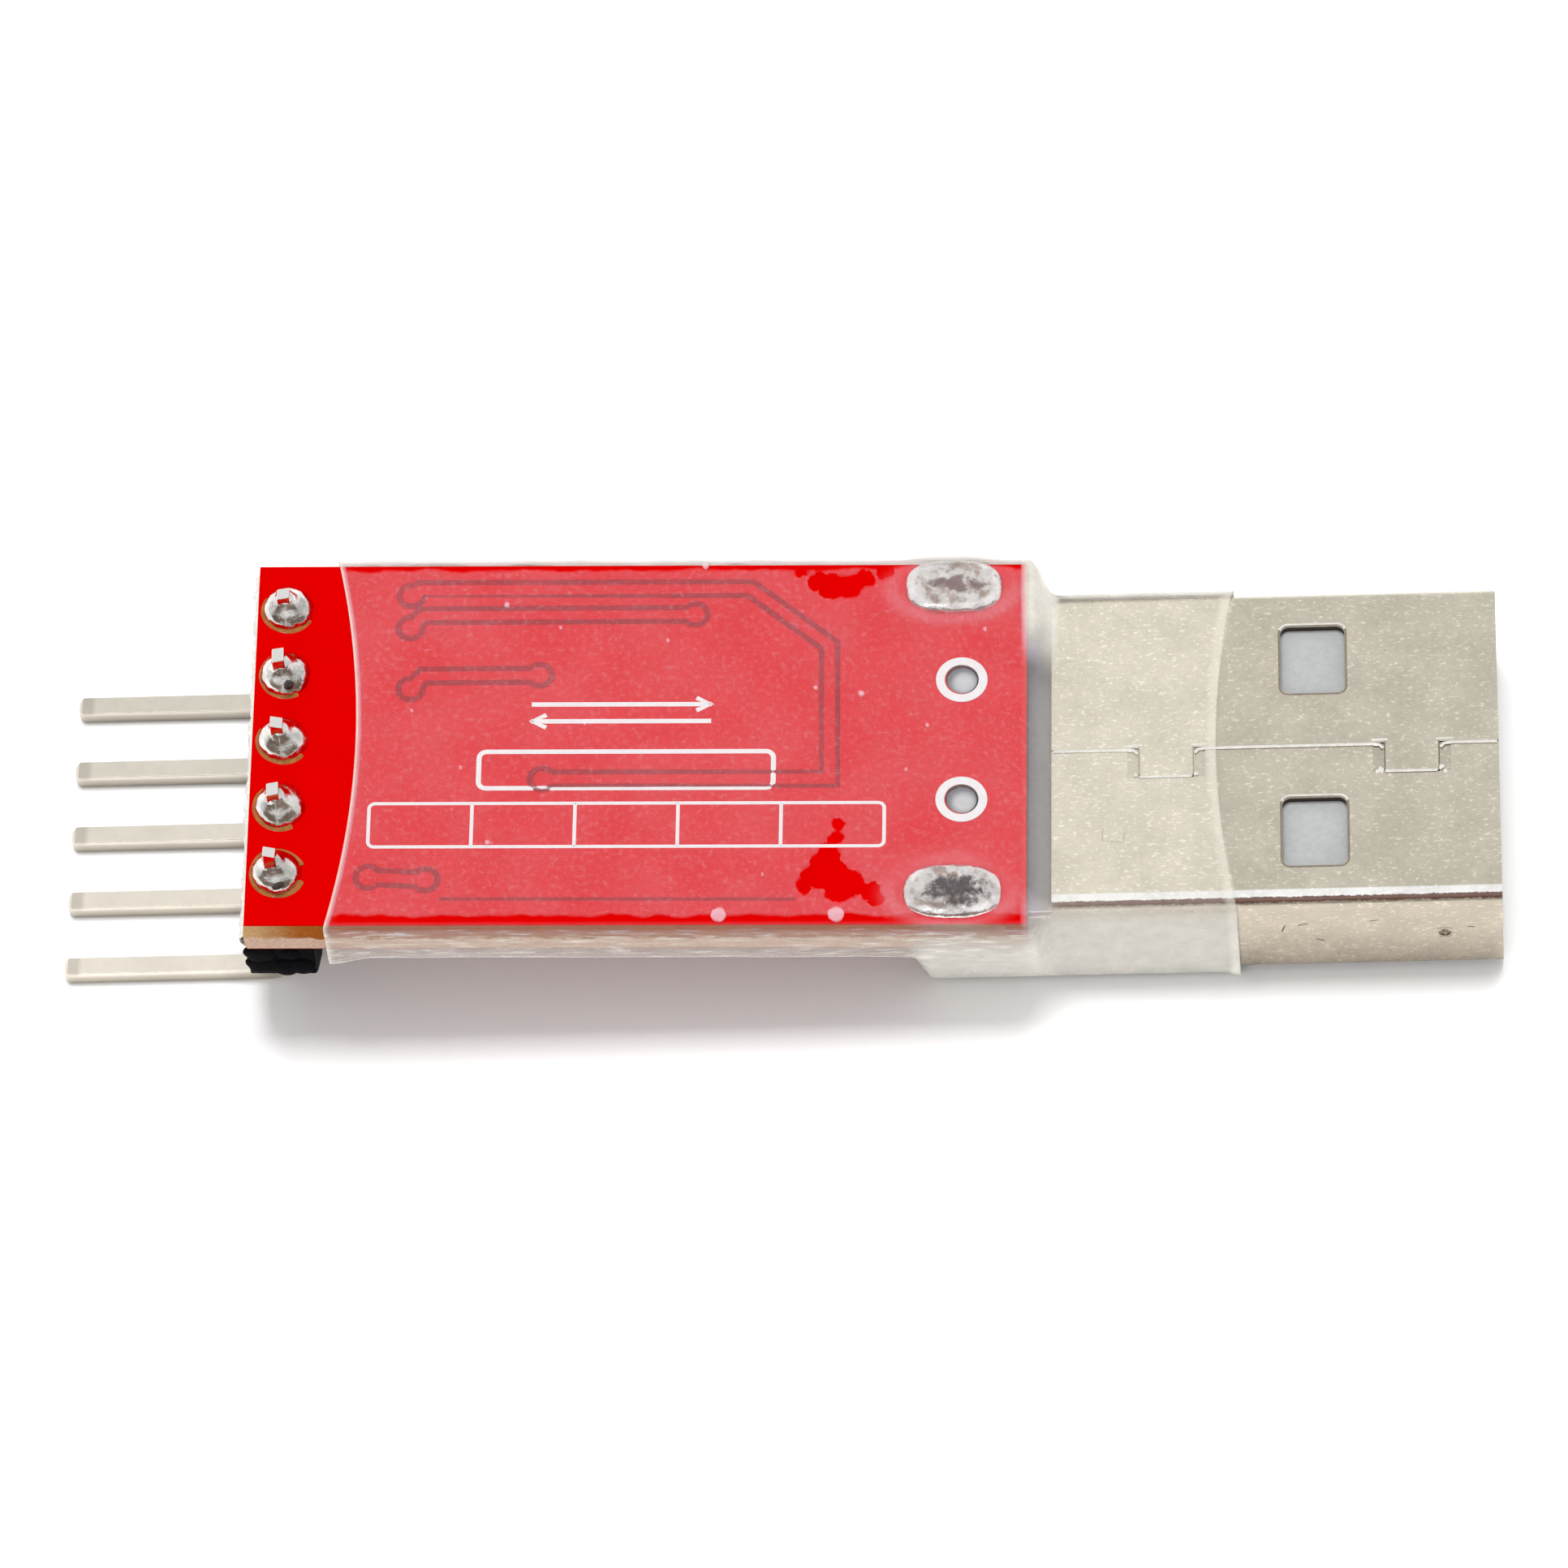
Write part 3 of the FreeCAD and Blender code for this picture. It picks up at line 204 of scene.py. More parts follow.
@dataclass(frozen=True)
class FilmFrame:
    """Ends of the film, each bowed so that its corners reach furthest.

    Attributes:
        start: Middle of the free end, along the board.
        end: Where the look of a covered shell ends, along the module.
        bow: How much further the corners reach than the middle.
        board_half: Half width that the free end bows over.
        plug_half: Half width that the covered look on the plug bows over.
        stuck: Distance from the middle where the film sticks to the board's rim.
        fade: Length over which a covered look fades out.
    """

    start: float = -9.42
    end: float = 14.8
    bow: float = 0.78
    board_half: float = 6.9
    plug_half: float = 6.2
    stuck: Band = (6.58, 6.68)
    fade: float = 0.1


BOARD = BoardFrame()
PLUG = PlugFrame()
COVER = FilmFrame()


# Shader building


class Wiring:
    """Adds nodes to one node tree and joins them, with numbers or sockets as inputs."""

    def __init__(self, tree: bpy.types.NodeTree) -> None:
        """Keep the tree that the nodes go into."""
        self.tree = tree

    def feed(self, socket: Socket, value: Feed) -> None:
        """Link a socket to an input, or set its plain value."""
        if isinstance(value, Socket):
            self.tree.links.new(value, socket)
        elif isinstance(value, tuple) and len(value) == 3 and len(socket.default_value) == 4:
            socket.default_value = (*value, 1.0)
        else:
            socket.default_value = value

    def add(self, kind: str, inputs: dict[str | int, Feed] | None = None,
            **settings: object) -> bpy.types.Node:
        """Add one node.

        Args:
            kind: Node type, without the words that all of them start with.
            inputs: Values or sockets by input name or number.
            **settings: Other properties of the node.

        Returns:
            The new node.
        """
        node = self.tree.nodes.new(kind if kind.startswith("NodeGroup") else f"ShaderNode{kind}")
        for name, value in settings.items():
            setattr(node, name, value)
        for key, value in (inputs or {}).items():
            self.feed(node.inputs[key], value)
        return node

    def math(self, operation: str, first: Feed, second: Feed = 0.0) -> Socket:
        """Result of one sum on two values."""
        return self.add("Math", {0: first, 1: second}, operation=operation).outputs[0]

    def plus(self, *values: Feed) -> Socket:
        """Sum of several values."""
        return reduce(partial(self.math, "ADD"), values)

    def times(self, *values: Feed) -> Socket:
        """Product of several values."""
        return reduce(partial(self.math, "MULTIPLY"), values)

    def minus(self, first: Feed, second: Feed) -> Socket:
        """First value less the second."""
        return self.math("SUBTRACT", first, second)

    def larger(self, first: Feed, second: Feed) -> Socket:
        """The larger of two values."""
        return self.math("MAXIMUM", first, second)

    def size(self, value: Feed) -> Socket:
        """The value without its sign."""
        return self.math("ABSOLUTE", value)

    def share(self, value: Feed, middle: float, half: float) -> Socket:
        """Distance from a middle, as a share of a half size."""
        return self.math("DIVIDE", self.minus(value, middle), half)

    def squared(self, x: Feed, y: Feed, centre: Sequence[float] = (0.0, 0.0)) -> Socket:
        """Squared distance of a point from a centre."""
        along, across = self.minus(x, centre[0]), self.minus(y, centre[1])
        return self.plus(self.times(along, along), self.times(across, across))

    def step(
        self, value: Feed, low: float, high: float, bottom: float = 0.0, top: float = 1.0
    ) -> Socket:
        """Smooth step of a value from bottom at low to top at high."""
        inputs = {
            "Value": value, "From Min": low, "From Max": high, "To Min": bottom, "To Max": top
        }
        return self.add("MapRange", inputs, interpolation_type="SMOOTHSTEP").outputs[0]

    def fall(self, value: Feed, low: float, high: float, top: float = 1.0) -> Socket:
        """Smooth step of a value from top at low to nothing at high."""
        return self.step(value, low, high, top, 0.0)

    def strip(self, value: Feed, places: Strip, top: float = 1.0) -> Socket:
        """Mask that rises between the first two places and falls between the last two."""
        return self.times(self.fall(value, *places[2:], top), self.step(value, *places[:2]))

    def grain(self, place: Feed, scale: float, detail: float = 2.0, rough: float = 0.5) -> Socket:
        """Noise between 0 and 1 at a place in millimetres, with scale in waves per millimetre."""
        inputs = {"Vector": place, "Scale": scale, "Detail": detail, "Roughness": rough}
        return self.add("TexNoise", inputs).outputs[0]

    def stray(self, reach: float, *grain: Feed) -> Socket:
        """Noise about zero that strays over a reach; the rest is as for grain."""
        return self.times(self.minus(self.grain(*grain), 0.5), reach)

    def mix(self, share: Feed, first: Feed, second: Feed) -> Socket:
        """Mix of two colours."""
        node = self.add("Mix", data_type="RGBA")
        for index, value in ((0, share), (6, first), (7, second)):
            self.feed(node.inputs[index], value)
        return node.outputs[2]

    def scaled(self, colour: Feed, share: Feed) -> Socket:
        """Colour made lighter or darker."""
        node = self.add("VectorMath", operation="SCALE")
        self.feed(node.inputs[0], colour)
        self.feed(node.inputs["Scale"], share)
        return node.outputs[0]

    def millimetres(self) -> Socket:
        """Object coordinates in millimetres."""
        return self.stretched(self.add("TexCoord").outputs["Object"], (1 / MM, 1 / MM, 1 / MM))

    def stretched(self, place: Feed, scale: Sequence[float]) -> Socket:
        """Place with each of its numbers multiplied."""
        return self.add("Mapping", {"Vector": place, "Scale": scale}).outputs[0]

    def on_board(self) -> Socket:
        """Object coordinates in the board's own frame, in millimetres."""
        inputs = {
            "Vector": self.add("TexCoord").outputs["Object"],
            "Location": tuple(value * MM for value in BOARD.origin),
            "Rotation": (0.0, math.radians(BOARD.tilt), 0.0),
            "Scale": (MM, MM, MM),
        }
        return self.add("Mapping", inputs, vector_type="TEXTURE").outputs[0]

    def parts(self, place: Feed) -> list[Socket]:
        """The three numbers of a place."""
        return list(self.add("SeparateXYZ", {0: place}).outputs)

    def attribute(self, name: str) -> Socket:
        """Number that the mesh carries at each point."""
        return self.add("Attribute", attribute_name=name).outputs["Fac"]

    def placed(self, group: bpy.types.NodeTree, **inputs: Feed) -> bpy.types.Node:
        """Node group placed with its named inputs."""
        node = self.add("Group", node_tree=group)
        for name, value in inputs.items():
            self.feed(node.inputs[name], value)
        return node


def new_group(
    name: str, inputs: dict[str, str], outputs: Sequence[str]
) -> tuple[bpy.types.NodeTree, Wiring]:
    """Start a node group.

    Args:
        name: Name of the group.
        inputs: Socket kind by input name.
        outputs: Names of the outputs, which are numbers.

    Returns:
        The group and the wiring for its tree.
    """
    group = bpy.data.node_groups.new(name, "ShaderNodeTree")
    for way, sockets in (("INPUT", inputs), ("OUTPUT", dict.fromkeys(outputs, "Float"))):
        for socket, kind in sockets.items():
            group.interface.new_socket(socket, in_out=way, socket_type=f"NodeSocket{kind}")
    return group, Wiring(group)


def make_grain_group() -> bpy.types.NodeTree:
    """Group that gives a shade and a height from two sizes of noise.

    Returns:
        The node group.
    """
    inputs = {"Place": "Vector", "Coarse": "Float", "Fine": "Float"}
    group, wire = new_group("surface_grain", inputs, ("Shade", "Height"))
    start = wire.add("NodeGroupInput").outputs
    coarse = wire.grain(start["Place"], start["Coarse"])
    fine = wire.grain(start["Place"], start["Fine"], 3.0, 0.6)
    height = wire.plus(wire.times(coarse, 0.6), wire.times(fine, 0.4))
    shade = wire.plus(wire.times(coarse, 0.5), wire.times(fine, 0.5))
    wire.add("NodeGroupOutput", {"Shade": shade, "Height": height})
    return group


GRAIN = make_grain_group()


@dataclass(frozen=True)
class Finish:
    """Plain finish with grain: colour and roughness that vary, and a fine relief.

    Attributes:
        name: Name of the material.
        colour: Middle colour, linear.
        roughness: Middle roughness.
        metallic: 1 for metal.
        coarse: Waves per millimetre of the coarse grain.
        fine: Waves per millimetre of the fine grain.
        shade: How much the colour varies.
        relief: Height of the grain in millimetres.
        rough_change: How much the roughness varies.
        alpha: How solid the surface is.
        shine: Specular level.
    """

    name: str
    colour: Colour
    roughness: float
    metallic: float = 0.0
    coarse: float = 1.0
    fine: float = 14.0
    shade: float = 0.12
    relief: float = 0.004
    rough_change: float = 0.15
    alpha: float = 1.0
    shine: float = 0.5

    def start(self) -> tuple[bpy.types.Material, Wiring, bpy.types.Node]:
        """Empty material with its surface shader.

        Returns:
            The material, its wiring and the shader node.
        """
        material = bpy.data.materials.new(self.name)
        material.use_nodes = True
        material.node_tree.nodes.clear()
        wire = Wiring(material.node_tree)
        inputs = {"Metallic": self.metallic, "Alpha": self.alpha, "Specular IOR Level": self.shine}
        surface = wire.add("BsdfPrincipled", inputs)
        wire.add("OutputMaterial", {"Surface": surface.outputs[0]})
        return material, wire, surface

    def grain(self, wire: Wiring, place: Feed) -> bpy.types.Node:
        """The shared grain group at this finish's sizes."""
        return wire.placed(GRAIN, Place=place, Coarse=self.coarse, Fine=self.fine)

    def dress(
        self, wire: Wiring, surface: bpy.types.Node, colour: Feed, grain: bpy.types.Node
    ) -> None:
        """Feed the shader with a shaded colour, a varied roughness and a relief.

        Args:
            wire: Wiring of the material.
            surface: Shader to feed.
            colour: Colour before shading.
            grain: Placed grain group.
        """
        shade = grain.outputs["Shade"]
        spread = self.rough_change / 2
        low, high = max(self.roughness - spread, 0.03), self.roughness + spread
        relief = {"Height": grain.outputs["Height"], "Distance": self.relief * MM, "Strength": 1.0}
        feeds = {
            "Base Color": wire.scaled(colour, wire.step(shade, 0.3, 0.7, 1.0 - self.shade, 1.0)),
            "Roughness": wire.step(shade, 0.25, 0.75, low, high),
            "Normal": wire.add("Bump", relief).outputs[0],
        }
        for name, socket in feeds.items():
            wire.feed(surface.inputs[name], socket)

    def material(self) -> bpy.types.Material:
        """Build the material.

        Returns:
            The finished material.
        """
        material, wire, surface = self.start()
        self.dress(wire, surface, self.colour, self.grain(wire, wire.millimetres()))
        return material


WET_SPOTS: tuple[Spot, ...] = (
    (5.35, 6.55, 0.25), (5.95, 6.2, 0.36), (6.4, 5.98, 0.5), (6.95, 6.0, 0.5), (7.5, 6.3, 0.34),
    (8.15, 6.5, 0.3), (6.62, -3.2, 0.22), (6.6, -3.7, 0.26), (6.4, -4.2, 0.33), (6.2, -4.7, 0.44),
    (6.0, -5.2, 0.5), (6.6, -5.2, 0.58), (7.2, -5.5, 0.45), (7.75, -5.75, 0.36), (5.6, -5.55, 0.3),
    (7.95, -6.05, 0.3), (6.7, -5.8, 0.4),
)
MILK_SPOTS: tuple[Spot, ...] = (
    (2.77, -6.62, 0.24), (6.64, -6.62, 0.26), (-4.53, 5.3, 0.07), (7.41, 1.82, 0.09),
    (5.87, 2.04, 0.06), (2.12, 6.8, 0.1), (-4.94, -3.85, 0.07), (0.9, 3.9, 0.05), (-1.8, 0.7, 0.04),
    (9.6, 0.6, 0.05), (8.9, -1.1, 0.04), (-7.6, 1.2, 0.05), (-5.9, -1.0, 0.04), (4.2, -5.1, 0.05),
    (11.5, 4.3, 0.06), (-2.7, 4.4, 0.04),
)


def make_spot_group(
    name: str, spots: Sequence[Spot], ragged: float, waves: float
) -> bpy.types.NodeTree:
    """Group that gives 1 inside a set of ragged round spots in the board's frame.

    Args:
        name: Name of the group.
        spots: Centre and radius of each spot.
        ragged: How far the outline strays.
        waves: Waves per millimetre of the outline.

    Returns:
        The node group.
    """
    group, wire = new_group(name, {"Place": "Vector"}, ("Inside",))
    place = wire.add("NodeGroupInput").outputs["Place"]
    x, y, _ = wire.parts(place)
    nearest: Feed = 100.0
    for *centre, radius in spots:
        away = wire.minus(wire.math("SQRT", wire.squared(x, y, centre)), radius)
        nearest = wire.math("MINIMUM", nearest, away)
    outline = wire.plus(nearest, wire.stray(ragged * 2, place, waves, 5.0, 0.65))
    wire.add("NodeGroupOutput", {"Inside": wire.fall(outline, -0.02, 0.025)})
    return group


WET = make_spot_group("wet_places", WET_SPOTS, 0.32, 2.1)
MILK = make_spot_group("milk_places", MILK_SPOTS, 0.10, 5.0)


@dataclass(frozen=True)
class BoardFinish(Finish):
    """Red mask on both faces, tan glass laminate on the edges with a pale snapped band.

    Attributes:
        covered: Colour of the mask under the film, a little darker: painted shade.
        laminate: Colour of the cut laminate.
        fibre: Colour of the torn fibres.
        pale: Colour of the cut laminate near the free end.
        fluff: Colour of the fibres on the free end.
        rim: Depths between which the mask ends on the board's edge.
        tear: Heights between which the torn band fades, counted from the upper face.
        pale_to: Places along the board between which the pale laminate fades.
        fluff_to: Places along the board between which the free end's fibres fade.
        edge_roughness: Roughness of the board's edge.
    """

    covered: Colour = (0.50, 0.0, 0.0)
    laminate: Colour = (0.37, 0.108, 0.018)
    fibre: Colour = (0.64, 0.44, 0.335)
    pale: Colour = (0.58, 0.36, 0.17)
    fluff: Colour = (0.84, 0.81, 0.76)
    rim: Band = (0.03, 0.06)
    tear: Band = (-0.6, -0.44)
    pale_to: Band = (-12.9, -10.9)
    fluff_to: Band = (-12.98, -12.93)
    edge_roughness: float = 0.85

    def material(self) -> bpy.types.Material:
        """Build the material from the depth below the board's upper face."""
        material, wire, surface = self.start()
        place = wire.on_board()
        x, y, height = wire.parts(place)
        upper = wire.step(height, -self.rim[1], -self.rim[0])
        lower = wire.fall(height, self.rim[0] - BOARD.thickness, self.rim[1] - BOARD.thickness)
        masked = wire.larger(upper, lower)
        ragged = wire.plus(height, wire.times(wire.grain(place, 2.2, 4.0), 0.5))
        torn = wire.fall(ragged, *self.tear)
        cut = wire.mix(wire.step(x, *self.pale_to), self.pale, self.laminate)
        edge = wire.mix(wire.step(x, *self.fluff_to), self.fluff, wire.mix(torn, cut, self.fibre))
        streaks = wire.step(wire.grain(place, 9.0, 4.0, 0.7), 0.35, 0.7, 0.75, 1.0)
        bow = wire.times(y, y, COVER.bow / COVER.board_half ** 2)
        under = wire.step(wire.plus(x, bow, -COVER.start), 0.0, 0.12)
        wet = wire.placed(WET, Place=place).outputs["Inside"]
        dry = wire.minus(1.0, wire.larger(wet, wire.step(wire.size(y), *COVER.stuck)))
        # Painted shade: a darker copy of the mask under the film, but not on wet spots or the rim.
        mask = wire.mix(wire.times(under, dry), self.colour, self.covered)
        colour = wire.mix(masked, wire.scaled(edge, streaks), mask)
        self.dress(wire, surface, colour, self.grain(wire, place))
        wire.feed(
            surface.inputs["Roughness"],
            wire.step(masked, 0.0, 1.0, self.edge_roughness, self.roughness)
        )
        return material


@dataclass(frozen=True)
class ShellFinish(Finish):
    """Plated steel with painted light and shade, and a dark brown line along the near fold.

    Attributes:
        covered: Colour under the film, a painted sheen of the film.
        cut: Colour of the cut edges inside the windows and the seam, painted shade.
        fold_line: Colour of the dark brown line along the near fold.
        flank: Colour of the near and far sides, painted shade.
        fold_highlight: Colour of the bright near fold, a painted highlight.
        hollow: Distances from the middle between which the painted shade in the cut edges ends.
        wall: Heights of the upper wall's cut edges, where shade is painted.
        fold_line_place: Sideways places of that line.
        fold_line_share: How much of that line's colour shows.
        fold_highlight_line: Sideways places of the painted highlight along the fold.
        side: Distances from the middle where the sides and their painted shade start.
    """

    covered: Colour = (0.78, 0.725, 0.60)
    cut: Colour = (0.09, 0.06, 0.045)
    fold_line: Colour = (0.135, 0.052, 0.034)
    flank: Colour = (0.52, 0.455, 0.37)
    fold_highlight: Colour = (1.0, 0.99, 0.96)
    hollow: Band = (5.4, 5.5)
    wall: Strip = (4.0, 4.1, 4.56, 4.60)
    fold_line_place: Strip = (-5.91, -5.87, -5.76, -5.72)
    fold_line_share: float = 0.92
    fold_highlight_line: Strip = (-5.86, -5.82, -5.51, -5.45)
    side: Band = (5.93, 5.98)

    def material(self) -> bpy.types.Material:
        """Build the material."""
        material, wire, surface = self.start()
        place = wire.millimetres()
        x, y, z = wire.parts(place)
        across = wire.minus(y, PLUG.shift)
        bow = wire.times(across, across, COVER.bow / COVER.plug_half ** 2)
        under = wire.fall(wire.minus(x, bow), COVER.end - COVER.fade, COVER.end)
        # Painted shade in the upper wall's cut edges.
        edges = wire.times(wire.fall(wire.size(across), *self.hollow), wire.strip(z, self.wall))
        # A ragged dark brown line along the near fold.
        fold = wire.plus(across, wire.stray(0.12, place, 6.0, 4.0, 0.7))
        fold_line_mask = wire.strip(fold, self.fold_line_place, self.fold_line_share)
        flecks = wire.stretched(place, (0.5, 1.0, 1.0))
        glints = wire.step(wire.grain(flecks, 9.0, 2.0, 0.8), 0.55, 0.70, 1.0, 1.42)
        clouds = wire.step(wire.grain(place, 0.7, 3.0), 0.3, 0.7, 0.94, 1.06)
        side = wire.step(wire.size(across), *self.side)
        # Painted shade on the sides, and a painted sheen of the film where it lies over the shell.
        bare = wire.mix(side, wire.mix(under, self.colour, self.covered), self.flank)
        # A painted highlight along the near fold.
        bright = wire.mix(wire.strip(across, self.fold_highlight_line), bare, self.fold_highlight)
        sparkle = wire.scaled(bright, wire.times(glints, clouds))
        colour = wire.mix(edges, wire.mix(fold_line_mask, sparkle, self.fold_line), self.cut)
        self.dress(wire, surface, colour, self.grain(wire, place))
        return material


@dataclass(frozen=True)
class SeamFinish(Finish):
    """Painted shade lines along the shell's gaps and edges, and a mark; paler under the film.

    Attributes:
        covered: Colour under the film, a painted sheen of the film.
    """

    covered: Colour = (0.60, 0.55, 0.46)

    def material(self) -> bpy.types.Material:
        """Build the material."""
        material, wire, surface = self.start()
        place = wire.millimetres()
        under = wire.fall(wire.parts(place)[0], COVER.end - COVER.fade, COVER.end)
        # Paler under the film: a painted sheen of the film.
        colour = wire.mix(under, self.colour, self.covered)
        self.dress(wire, surface, colour, self.grain(wire, place))
        return material


@dataclass(frozen=True)
class PinFinish(Finish):
    """Tinned pins with painted shade low down and on the tips, and painted light on the near pins.

    Attributes:
        low: Colour near the floor, painted shade.
        lying: Places along the module between which the lying part of the pins ends.
        foot: Heights between which the painted shade on the underside fades.
        tip: Places along the module between which the painted shade on the tips fades.
        row: Sideways places of the nearest and the farthest pin, about.
        lit: How light the nearest and the farthest pin are, painted light and shade.
        solder: Colour of the solder on the leads above the board.
        solder_from: Heights between which the solder on the leads starts.
        solder_roughness: Roughness of that solder.
    """

    low: Colour = (0.50, 0.455, 0.385)
    lying: Band = (-17.0, -16.4)
    foot: Band = (0.35, 0.62)
    tip: Band = (-23.75, -23.5)
    row: Band = (-5.5, 5.5)
    lit: Band = (1.12, 0.93)
    solder: Colour = (0.80, 0.785, 0.755)
    solder_from: Band = (6.15, 6.4)
    solder_roughness: float = 0.12

    def material(self) -> bpy.types.Material:
        """Build the material."""
        material, wire, surface = self.start()
        place = wire.millimetres()
        x, y, z = wire.parts(place)
        # Painted shade on the lying pins near the floor and on their tips.
        under = wire.times(wire.fall(x, *self.lying), wire.fall(z, *self.foot))
        darkened = wire.larger(under, wire.fall(x, *self.tip, 0.6))
        # Painted light and shade: the pins are lighter towards the near side.
        metal = wire.scaled(
            wire.mix(darkened, self.colour, self.low), wire.step(y, *self.row, *self.lit)
        )
        coated = wire.step(z, *self.solder_from)
        self.dress(wire, surface, wire.mix(coated, metal, self.solder), self.grain(wire, place))
        rough = wire.step(coated, 0.0, 1.0, self.roughness, self.solder_roughness)
        wire.feed(surface.inputs["Roughness"], rough)
        return material


@dataclass(frozen=True)
class MouldingFinish(Finish):
    """Pale moulding with painted light and shade; greyer in the gap behind the shell's upper wall.

    Attributes:
        shaded: Colour in the gap, painted shade.
        gap_to: Place along the module where the gap ends.
        lit: Colour in the middle of the windows.
        lit_reach: Squared distances between which the windows' light fades.
        peg: Place of the pegs along the module, and their distance from their middle line.
        peg_row: Sideways place of that middle line.
        peg_from: Heights between which the pegs' own look starts.
        peg_reach: Squared distances between which a peg's look changes.
        peg_rim: Colour round the rim of the pegs, painted shade.
        peg_middle: Colour in the middle of the pegs, a painted highlight.
    """

    shaded: Colour = (0.24, 0.235, 0.23)
    gap_to: float = 9.4
    lit: Colour = (0.385, 0.395, 0.395)
    lit_reach: Band = (0.1, 1.3)
    peg: tuple[float, float] = (6.42, 2.3)
    peg_row: float = 0.06
    peg_from: Band = (5.0, 5.1)
    peg_reach: Band = (0.02, 0.26)
    peg_rim: Colour = (0.13, 0.135, 0.14)
    peg_middle: Colour = (0.42, 0.43, 0.43)

    def material(self) -> bpy.types.Material:
        """Build the material."""
        material, wire, surface = self.start()
        place = wire.millimetres()
        x, y, z = wire.parts(place)
        from_window = wire.squared(x, wire.size(wire.minus(y, PLUG.shift)), PLUG.window)
        # Painted light in the middle of the windows.
        lit = wire.mix(wire.step(from_window, *self.lit_reach), self.lit, self.colour)
        # Painted shade round the pegs' rims and a painted highlight in their middles.
        from_peg = wire.squared(x, wire.size(wire.minus(y, self.peg_row)), self.peg)
        peg = wire.mix(wire.step(from_peg, *self.peg_reach), self.peg_middle, self.peg_rim)
        # Painted shade in the gap behind the shell's upper wall.
        behind = wire.mix(wire.step(z, *self.peg_from), self.shaded, peg)
        rear = wire.fall(x, self.gap_to - COVER.fade, self.gap_to)
        self.dress(wire, surface, wire.mix(rear, lit, behind), self.grain(wire, place))
        return material


@dataclass(frozen=True)
class FilmFinish(Finish):
    """Clear shrunk film, nearly see-through: whiter where it is thick, folded or seen sideways.

    Attributes:
        side: Colour on the film's near and far sides, and over the plug.
        side_from: Heights between which the board's sides start.
        plug_from: Places along the module between which the plug's part starts.
        haze: Milkiness of the flat film.
        mirror: How strongly it mirrors the pale surroundings.
        index: How strongly the film bends light.
        spot: Milkiness of the white spots.
        dust: Milkiness of the dust.
        streak: Milkiness of the drawn-out streaks on the sides.
        most: Milkiness that is never passed.
        edge_haze: Milkiness of the cut ends, or nothing for the film's faces.
    """

    side: Colour = (0.88, 0.85, 0.775)
    side_from: Band = (-0.4, -0.15)
    plug_from: Band = (9.0, 9.6)
    haze: float = 0.014
    mirror: float = 0.6
    index: float = 1.45
    spot: float = 0.2
    dust: float = 0.06
    streak: float = 0.45
    most: float = 0.95
    edge_haze: float | None = None

    def material(self) -> bpy.types.Material:
        """Build the material; the haze attribute adds milk where the film is folded."""
        material, wire, surface = self.start()
        place = wire.on_board()
        height = wire.parts(place)[2]
        grain = self.grain(wire, place)
        over_plug = wire.step(wire.parts(wire.millimetres())[0], *self.plug_from)
        flank = wire.larger(wire.fall(height, *self.side_from), over_plug)
        milk = wire.attribute("haze")
        pale = wire.larger(flank, wire.step(milk, 0.08, 0.3))
        self.dress(wire, surface, wire.mix(pale, self.colour, self.side), grain)
        if self.edge_haze is None:
            alpha = self.face_alpha(wire, place, milk)
        else:
            alpha = wire.step(
                grain.outputs["Shade"], 0.3, 0.7, self.edge_haze * 0.6, self.edge_haze
            )
        wire.feed(surface.inputs["Alpha"], alpha)
        return material

    def face_alpha(self, wire: Wiring, place: Socket, milk: Socket) -> Socket:
        """How solid the film's faces look.

        Args:
            wire: Wiring of the material.
            place: Place in the board's frame.
            milk: Milkiness that the mesh carries.

        Returns:
            Value for the shader's alpha.
        """
        _, y, height = wire.parts(place)
        upper = wire.step(height, -0.1, 0.0)
        rim = wire.step(wire.plus(wire.size(y), wire.stray(0.5, place, 0.9, 5.0)), *COVER.stuck)
        wet = wire.times(wire.larger(wire.placed(WET, Place=place).outputs["Inside"], rim), upper)
        dry = wire.minus(1.0, wet)
        behind = wire.add("NewGeometry").outputs["Backfacing"]
        index = wire.plus(self.index, wire.times(behind, 1 / self.index - self.index))
        mirror = wire.times(wire.add("Fresnel", {"IOR": index}).outputs[0], self.mirror)
        clouds = wire.step(wire.grain(place, 0.35, 3.0), 0.3, 0.7, self.haze * 0.6, self.haze * 1.4)
        uneven = wire.step(wire.grain(place, 1.6, 4.0, 0.6), 0.25, 0.75, 0.85, 1.12)
        drawn = wire.stretched(place, (0.35, 2.6, 2.6))
        streak = wire.step(wire.grain(drawn, 2.4, 5.0, 0.65), 0.5, 0.72, 0.0, self.streak)
        dust = wire.step(wire.grain(place, 5.5, 4.0, 0.75), 0.5, 0.74, 0.0, self.dust)
        spots = wire.times(wire.placed(MILK, Place=place).outputs["Inside"], upper, self.spot)
        alpha = wire.plus(
            wire.times(wire.plus(mirror, clouds), dry),
            wire.times(milk, uneven),
            wire.times(wire.attribute("streaks"), streak),
            wire.plus(spots, wire.times(dust, dry)),
        )
        return wire.math("MINIMUM", alpha, self.most)


